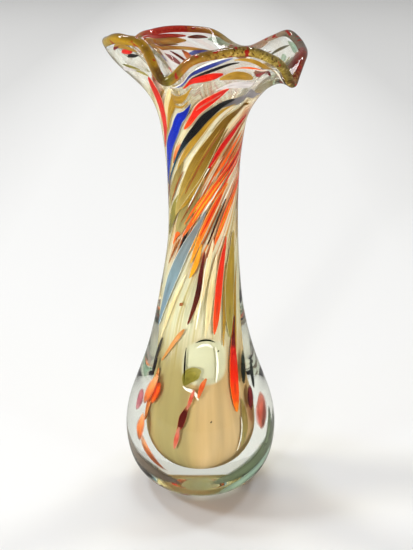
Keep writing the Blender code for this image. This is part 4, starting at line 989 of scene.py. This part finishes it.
# Each streak's glass and path.
FINE_STREAKS = (
    # Round the neck, from the left edge to the right.
    ("gold", ((-52, 224.6, 0.4), (-34, 234, 1.3), (-14, 243.8, 1.7), (5, 253, 1.4), (24, 261, 1.0),
              (38, 266.6, 0.3))),
    ("sash_brown", ((-36, 205.5, 0.3), (-22, 213, 1.2), (-6, 221.6, 1.6), (10, 231.6, 1.5),
                    (24, 241.6, 1.2), (38, 250.6, 0.3))),
    ("orange", ((-72, 174.5, 0.3), (-64, 180, 1.0), (-57, 183, 1.4), (-51, 184, 0.4))),
    ("tawny", ((-84, 160, 0.3), (-72, 168, 0.7), (-60, 175.5, 0.8), (-52, 180, 0.3))),
    ("soot", ((-54, 171, 0.2), (-46, 177, 0.6), (-38, 182.6, 0.9), (-32, 186.6, 0.7), (-26, 190, 0.2))),
    ("honey", ((-24, 156, 0.3), (-18, 161, 1.2), (-12, 167, 1.5), (-7, 174, 0.9), (-3, 179, 0.3))),
    ("honey", ((4, 195.5, 0.2), (14, 199.8, 0.7), (26, 205.8, 0.8), (38, 211.6, 0.7), (50, 216.2, 0.2))),
    ("red", ((14, 213.2, 0.2), (26, 218.6, 0.5), (38, 224.6, 0.7), (50, 230.4, 0.5), (60, 235, 0.2))),
    ("orange", ((20, 221.4, 0.2), (32, 226.6, 0.9), (46, 233.4, 1.1), (60, 240.4, 1.0), (74, 247, 0.3))),
    ("tawny", ((30, 231.4, 0.2), (44, 238, 0.8), (58, 245, 0.9), (72, 252, 0.8), (86, 258, 0.2))),
    ("red", ((32, 211.4, 0.2), (46, 217.4, 0.5), (62, 223.4, 0.6), (78, 229.2, 0.5), (92, 234, 0.2))),
    ("soot", ((2, 221, 0.15), (8, 224.4, 0.35), (14, 227.8, 0.15))),
    ("honey", ((-32, 215.6, 0.15), (-22, 220.2, 0.4), (-12, 225.2, 0.15))),
    ("tawny", ((-78, 202, 0.2), (-64, 210, 0.5), (-50, 218, 0.5), (-38, 224, 0.2))),
    ("apricot", ((-62, 227.6, 0.3), (-54, 232.4, 1.3), (-46, 237.2, 1.3), (-38, 241.4, 0.3))),
    ("orange", ((-28, 250.6, 0.2), (-20, 254.2, 0.5), (-12, 257.6, 0.2))),
    ("gold", ((-76, 240.6, 0.2), (-60, 249.6, 0.7), (-44, 257.4, 0.8), (-30, 264, 0.7), (-16, 271, 0.3))),
    ("cream", ((-70, 245, 0.3), (-58, 254, 1.2), (-47, 262, 1.6), (-37, 270, 1.4), (-29, 277, 0.4))),
    ("gold", ((-62, 249, 0.3), (-50, 256, 1.4), (-39, 263, 2.2), (-28, 270.5, 2.2), (-18, 276.5, 1.4),
              (-10, 281, 0.4))),
    ("olive_veil", ((-96, 178, 0.5), (-84, 188, 2.4), (-68, 197.5, 3.2), (-50, 206, 2.6), (-34, 214, 0.8))),
    # Painted shade: a grey veil to the right of the black cane's upper end.
    ("dusk_painted_shade", ((16, 262, 0.4), (30, 266.4, 2.4), (45, 270, 3.2), (59, 273, 2.4), (70, 275, 0.4))),
    ("wine", ((-104, 196, 0.3), (-93, 206, 0.8), (-83, 214, 0.9), (-74, 221, 0.3))),
    ("tawny", ((88, 196, 0.3), (97, 206, 1.0), (107, 216, 1.0), (118, 225, 0.3))),
    ("red", ((84, 222, 0.3), (93, 228, 0.9), (103, 235, 0.9), (113, 242, 0.3))),
    ("cream", ((-12, 128, 0.3), (-2, 141, 1.4), (6, 156, 1.8), (13, 170, 1.2), (20, 182, 0.3))),
    ("cream", ((8, 116, 0.3), (14, 130, 1.5), (18, 146, 1.8), (23, 160, 1.4), (28, 172, 0.3))),
    ("gold", ((40, 108, 0.3), (44, 122, 1.0), (47, 136, 1.2), (49, 150, 0.9), (52, 164, 0.3))),
    ("tawny", ((-40, 136.4, 0.2), (-37, 137.6, 1.1), (-34, 138.8, 0.2))),
    ("cream", ((-84, 108, 0.3), (-70, 122, 1.0), (-57, 136, 1.2), (-44, 148, 0.9), (-32, 158, 0.3))),
    ("gold", ((66, 96, 0.3), (70, 112, 1.2), (75, 128, 1.4), (80, 144, 1.2), (86, 160, 0.3))),
    ("gold", ((90, 176, 0.3), (98, 190, 1.6), (110, 204, 2.0), (126, 216, 1.6), (146, 228, 0.4))),
    ("orange", ((150, 150, 0.3), (160, 166, 1.4), (174, 182, 1.8), (192, 198, 1.4), (214, 214, 0.3))),
    ("cream", ((-150, 120, 0.3), (-142, 136, 1.6), (-130, 152, 2.0), (-114, 168, 1.5), (-96, 182, 0.3))),
    ("orange", ((16, 205.6, 0.2), (28, 210.4, 0.7), (42, 214.6, 0.5), (52, 218, 0.2))),
    ("honey", ((24, 216, 0.2), (36, 221, 0.8), (48, 226.6, 0.8), (60, 231.4, 0.2))),
    ("tawny", ((44, 229.4, 0.2), (56, 234.6, 0.6), (70, 240.4, 0.6), (84, 246, 0.2))),
    ("tawny", ((-14, 187.4, 0.2), (-4, 193.2, 0.7), (8, 199.6, 0.2))),
    ("gold", ((-66, 194, 0.3), (-52, 199.6, 0.8), (-38, 203.4, 1.0), (-24, 209, 0.9), (-8, 216.6, 0.8),
              (8, 225, 0.3))),
    ("honey", ((-32, 171, 0.2), (-26, 175, 0.6), (-19, 180, 0.8), (-12, 185.2, 0.2))),
    ("milk", ((-60, 203, 0.2), (-40, 215, 0.4), (-20, 228.5, 0.45), (-2, 240.5, 0.4), (12, 249.5, 0.2))),
    ("milk", ((-30, 202, 0.2), (-12, 213.5, 0.35), (6, 224.6, 0.4), (20, 233.6, 0.35), (34, 242.5, 0.2))),
    ("milk", ((-6, 196.2, 0.2), (10, 204.2, 0.35), (26, 211.8, 0.35), (42, 219.4, 0.2))),
    ("milk", ((36, 203, 0.2), (50, 209.6, 0.35), (66, 216.6, 0.35), (82, 223, 0.2))),
    ("milk", ((-66, 146.6, 0.2), (-52, 159.4, 0.4), (-37, 170.6, 0.4), (-22, 181, 0.2))),
    ("milk", ((-8, 122, 0.2), (-3, 134, 0.5), (1, 146, 0.6), (4, 158, 0.5), (8, 170, 0.2))),
    ("honey", ((-20, 198.4, 0.2), (-6, 205.2, 0.5), (8, 212, 0.5), (22, 218.6, 0.2))),
    ("orange", ((-40, 190.2, 0.2), (-26, 197.4, 0.5), (-12, 204.6, 0.5), (2, 211.4, 0.2))),
    ("tawny", ((-48, 191.4, 0.2), (-32, 200, 0.4), (-16, 208.6, 0.4), (0, 217, 0.2))),
    # Round the painted window reflection in the bulb: the dark lines of its frame, a painted olive
    # reflection, and white painted highlights.
    ("soot", ((-25, 84, 0.2), (-25.4, 92, 0.5), (-25, 101, 0.5), (-23.6, 109, 0.2))),
    ("bottle_green", ((-8, 113, 0.2), (3, 114.6, 0.6), (15, 114.4, 0.6), (25, 112.6, 0.2))),
    ("olive_veil", ((-25, 82, 0.8), (-20, 87, 3.6), (-13, 90.6, 4.6), (-6, 92.6, 3.6), (1, 93.6, 0.8))),
    ("milk", ((-27, 81.4, 0.2), (-21, 79.6, 0.9), (-14, 78.8, 1.3), (-7, 76.4, 1.0), (-3, 72.6, 0.3))),
    ("milk", ((-6, 109.4, 0.2), (3, 111.2, 0.9), (13, 111.2, 0.9), (22, 108.6, 0.2))),
    ("milk", ((24, 84, 0.2), (27, 92, 0.7), (27.6, 101, 0.7), (25.6, 109, 0.2))),
    # Low on the right of the bulb's lining.
    ("khaki", ((57, 32, 0.4), (61, 40, 2.2), (64, 49, 2.6), (65, 58, 1.8), (65, 66, 0.4))),
    ("milk", ((50, 31, 0.2), (54, 38, 0.5), (57, 46, 0.5), (58, 54, 0.2))),
    # The outside of the front lobe.
    ("ink_blue", ((-23, 286.5, 0.4), (-15, 290.6, 1.2), (-7, 294.2, 1.6), (1, 297.2, 1.6),
                  (9, 299.4, 1.2), (17, 300.8, 0.3))),
    ("soot", ((-9, 289.6, 0.3), (-1, 292.6, 0.9), (7, 295.2, 1.1), (15, 296.9, 0.9), (22, 297.6, 0.3))),
    ("gold", ((18, 299.6, 0.3), (27, 299.6, 1.1), (36, 298.8, 1.4), (46, 297.6, 1.2), (56, 296, 0.3))),
    ("red", ((-18, 284.6, 0.5), (-10, 286.8, 2.2), (-1, 288.7, 2.9), (7, 290, 2.6), (13, 290.6, 0.8))),
    ("gold", ((11, 287, 0.8), (18, 287.9, 3.0), (25, 288.2, 3.3), (33, 287.9, 2.6), (39, 287.4, 0.8))),
    ("cherry", ((39, 290.6, 0.6), (45, 291.2, 2.4), (51, 291.2, 2.3), (57, 290.4, 0.5))),
    ("bottle_green", ((57, 299, 0.3), (60, 299.8, 1.3), (63, 300.4, 1.2), (66, 300.6, 0.3))),
    ("milk", ((34, 294.4, 0.3), (42, 295.2, 0.8), (50, 296.2, 0.9), (57, 297.8, 0.8), (62, 299, 0.3))),
    ("milk", ((-30, 281, 0.3), (-21, 289.4, 0.6), (-12, 294.4, 0.7), (-3, 298, 0.7), (6, 300.4, 0.6),
              (14, 301.6, 0.2))),
    # A painted highlight.
    ("pearl_painted_highlight", ((10, 277.6, 0.4), (22, 279.8, 2.2), (34, 281.6, 2.8), (46, 282.6, 2.0), (55, 282.6, 0.4))),
    ("orange", ((20, 293.4, 0.2), (28, 294.4, 0.6), (37, 295, 0.6), (46, 295, 0.2))),
    # The left lobe.
    ("wine", ((-63, 299.2, 0.3), (-60, 300, 1.0), (-57, 300.4, 1.0), (-54, 300.6, 0.3))),
    ("red", ((-57, 296.2, 0.4), (-54, 296.8, 1.6), (-51, 297.2, 1.6), (-48, 297.6, 0.4))),
    ("soot", ((-55, 293.4, 0.3), (-52, 294, 1.3), (-49, 294.6, 1.3), (-46, 295, 0.3))),
    ("gold", ((-60, 300.8, 0.4), (-56, 300.6, 1.5), (-52, 300.2, 1.8), (-48, 299.2, 1.6),
              (-45, 297.6, 0.4))),
    ("olive_veil", ((-66, 290, 0.4), (-61, 286.6, 1.6), (-56, 282.6, 1.8), (-52, 278, 0.4))),
    # A painted highlight.
    ("pearl_painted_highlight", ((-76, 286, 0.4), (-68, 286.6, 1.6), (-60, 284.6, 1.6), (-52, 281.6, 0.4))),
    # The inside of the back lobe.
    ("back_red", ((-132, 300.6, 0.5), (-141, 300.4, 1.5), (-150, 300, 1.7), (-160, 299.6, 1.4),
                  (-168, 299.4, 0.5))),
    ("back_gold", ((-122, 296, 0.6), (-134, 296.6, 2.2), (-146, 296.6, 2.8), (-158, 296.2, 2.6),
                   (-168, 296, 0.6))),
    ("tawny", ((-134, 294.2, 0.3), (-143, 293.8, 0.7), (-152, 293.4, 0.7), (-161, 293, 0.3))),
    ("wine", ((-169, 298.4, 0.4), (-174, 298.8, 1.3), (-179, 298.8, 1.3), (-184, 298.4, 0.4))),
    ("sea_green", ((-184, 297, 0.4), (-189, 297.8, 2.4), (-195, 298.4, 2.6), (-201, 298.8, 0.6))),
    ("back_gold", ((-116, 290.4, 0.3), (-131, 291.4, 1.2), (-146, 291.4, 1.5), (-160, 290.6, 1.4),
                   (-174, 289.4, 1.2), (-188, 288, 0.3))),
    ("bright_blue", ((-168, 285.8, 0.5), (-175, 286.2, 2.6), (-182, 286.2, 2.8), (-189, 285.6, 0.6))),
    ("apricot", ((-163, 288.6, 0.4), (-166, 285.4, 1.8), (-169, 281, 1.9), (-172, 276, 0.5))),
    ("rose", ((-144, 287.6, 0.4), (-149, 284.6, 1.6), (-154, 281, 1.7), (-159, 277, 0.5))),
    ("wine", ((-152, 288.8, 0.3), (-157, 285.4, 0.9), (-162, 281.6, 0.9), (-167, 277.4, 0.3))),
    ("bright_blue", ((-122, 286, 0.4), (-128, 284.4, 1.4), (-134, 282.8, 1.4), (-140, 281, 0.4))),
    ("milk", ((-126, 280, 0.4), (-136, 276, 2.4), (-147, 271, 3.0), (-158, 265, 2.4), (-170, 258, 0.6))),
    # The right lobe, inside and out.
    ("smoke", ((64, 289, 0.4), (69, 292.6, 1.0), (75, 295.4, 1.3), (82, 297, 1.0), (89, 297.6, 0.3))),
    ("garnet_red", ((60, 295, 0.5), (65, 299.6, 2.4), (71, 301, 3.0), (78, 301.2, 3.0), (85, 301, 2.2),
                    (92, 300.6, 0.4))),
    ("olive_veil", ((76, 288, 0.4), (82, 291.6, 1.6), (88, 294, 1.8), (95, 295.4, 0.4))),
    ("sea_green", ((84, 283, 0.4), (92, 288, 2.6), (100, 291.4, 2.8), (108, 293, 0.6))),
    ("sea_green", ((90, 300.4, 0.4), (97, 300.6, 1.8), (104, 300.6, 1.9), (112, 300.2, 0.4))),
    ("smoke", ((108, 299.4, 0.3), (112, 296, 1.1), (116, 292, 1.2), (119, 287.6, 0.3))),
    ("tawny", ((120, 292, 0.3), (130, 290, 1.0), (140, 287.4, 1.0), (148, 284.6, 0.3))),
)

for count, (glass, path) in enumerate(FINE_STREAKS):
    lay_streak("streak_%02d_%s" % (count + 1, glass), glass, path, STREAK_LIFT)

# Wisps of colour that the gather carried out into the clear bulb, wisps of painted shade low in it, and
# hair-thin lines and specks, one line a painted highlight.
# Each has its lift from the colour layer in millimetres, one value or one for each point of its
# path. The wide ones that lie well out in the clear glass are clouded.
CLOUDED_LIFT_MM = 1
CLOUDED_HALF_MM = 1
WISPS = (
    ("rose", 5, ((-98, 46, 0.4), (-95, 52, 3.6), (-92, 59, 4.2), (-89, 66, 0.4))),
    ("apricot", (4, 4, 4, 3), ((-85, 55, 0.4), (-80, 64, 3.4), (-74, 73, 3.4), (-66, 85, 0.4))),
    ("orange", 1, ((-78, 58, 0.4), (-74, 65, 2.8), (-70, 72, 3.1), (-66, 79, 0.4))),
    ("apricot", (5, 5, 4, 4), ((-86, 30, 0.4), (-83, 37, 3.9), (-81, 44, 3.6), (-79, 52, 0.4))),
    ("apricot", 4, ((-62, 15, 0.4), (-69, 21, 5.3), (-75, 28, 5.9), (-80, 37, 0.4))),
    ("soot", 2, ((-88, 76, 0.3), (-85, 82, 1.4), (-81, 89, 1.4), (-77, 94, 0.3))),
    ("salmon", 6, ((80, 38, 0.6), (83, 45, 6.7), (86, 54, 7.6), (89, 63, 0.6))),
    ("wine", 2, ((74, 54, 0.4), (77, 60, 3.4), (80, 66, 3.4), (83, 72, 0.4))),
    ("bottle_green", 2, ((70, 74, 0.4), (73, 82, 2.8), (76, 91, 2.8), (79, 100, 0.4))),
    ("bottle_green", 4, ((84, 66, 0.4), (88, 74, 2), (91, 84, 2), (94, 92, 0.4))),
    # Painted shade: the dark green-grey seen through the clear glass low on the bulb's right.
    ("moss_painted_shade", (14, 14, 13, 11, 9, 8), ((98, 48, 0.8), (86, 38, 5.8), (70, 31, 7.6), (50, 25, 6.9),
                                      (28, 20, 4.4), (10, 17, 0.8))),
    ("sea_green", (14, 14, 13, 12, 12), ((92, 32, 0.6), (78, 26, 3.6), (60, 21, 4.1), (40, 16, 3.1),
                                         (22, 13, 0.6))),
    # Painted shade, like the one above.
    ("moss_painted_shade", 14, ((84, 54, 0.5), (80, 46, 2.5), (74, 38, 2.8), (66, 32, 0.6))),
    # Painted shadow: the grey-brown seen through the clear glass low on the bulb's left, in two wisps.
    ("mocha_painted_shadow", (15, 15, 14, 12, 10, 9), ((-100, 42, 0.8), (-88, 34, 4.1), (-72, 28, 6.2), (-54, 24, 6.2),
                                        (-36, 20, 4.1), (-22, 17, 0.8))),
    ("mocha_painted_shadow", (9, 9, 8, 8), ((-84, 26, 0.6), (-66, 22, 3), (-46, 18, 3), (-28, 15, 0.6))),
    ("salmon", 12, ((-44, 10, 0.4), (-34, 10.4, 3.1), (-24, 10.6, 3.4), (-14, 10, 0.4))),
    ("salmon", 0.2, ((-33, 36, 0.4), (-31, 41, 1.2), (-29, 47, 1.3), (-27, 53, 0.3))),
    ("salmon", 0.2, ((-18, 66, 0.3), (-15, 71, 1), (-12, 76, 1), (-9, 80, 0.3))),
    # Hair-thin lines over the canes round the neck.
    ("honey", 0.25, ((-22, 192.6, 0.2), (-4, 202, 0.45), (14, 210.4, 0.5), (34, 219, 0.45),
                     (54, 226.4, 0.2))),
    ("wine", 0.25, ((30, 218, 0.2), (50, 225, 0.45), (72, 232.4, 0.45), (94, 240.4, 0.2))),
    ("honey", 0.25, ((28, 183.6, 0.2), (42, 192.6, 0.4), (58, 201.4, 0.4), (76, 209.4, 0.2))),
    ("red", 0.25, ((-6, 184.4, 0.2), (8, 193.4, 0.4), (22, 202.4, 0.4), (36, 210, 0.2))),
    ("gold", 0.25, ((-50, 205.4, 0.2), (-30, 216.8, 0.4), (-10, 228.8, 0.4), (8, 240.4, 0.4),
                    (24, 250.4, 0.2))),
    ("tawny", 0.25, ((-36, 210, 0.2), (-18, 221, 0.4), (0, 233, 0.5), (16, 243, 0.4), (30, 251, 0.2))),
    # Painted highlight: a pink line along the flame red cane.
    ("salmon", 0.25, ((-8, 262.6, 0.2), (0, 266, 0.5), (9, 270, 0.5), (16, 273.4, 0.2))),
    # Khaki glass that runs down from the sash, under the finer threads.
    ("khaki", -0.9, ((-68, 178, 0.5), (-55, 186.6, 3.2), (-41, 195.6, 4.4), (-27, 204.4, 4.0),
                     (-12, 213.4, 2.6), (2, 221.6, 0.6))),
    ("khaki", -0.9, ((-96, 196, 0.5), (-82, 205, 2.2), (-67, 213.4, 2.6), (-52, 222, 2.0),
                     (-38, 230, 0.5))),
    # Two dark specks in the bulb's clear glass.
    ("soot", 8, ((22.6, 108.6, 0.15), (23.2, 109.2, 0.4), (23.8, 109.8, 0.15))),
    ("soot", 4, ((11.4, 58.6, 0.15), (12, 59.2, 0.4), (12.6, 59.8, 0.15))),
)

for count, (glass, lift_mm, path) in enumerate(WISPS):
    clouded = np.min(lift_mm) >= CLOUDED_LIFT_MM and path[1][2] >= CLOUDED_HALF_MM
    lay_streak("wisp_%02d_%s" % (count + 1, glass), glass, path, np.array(lift_mm) * MM, clouded)
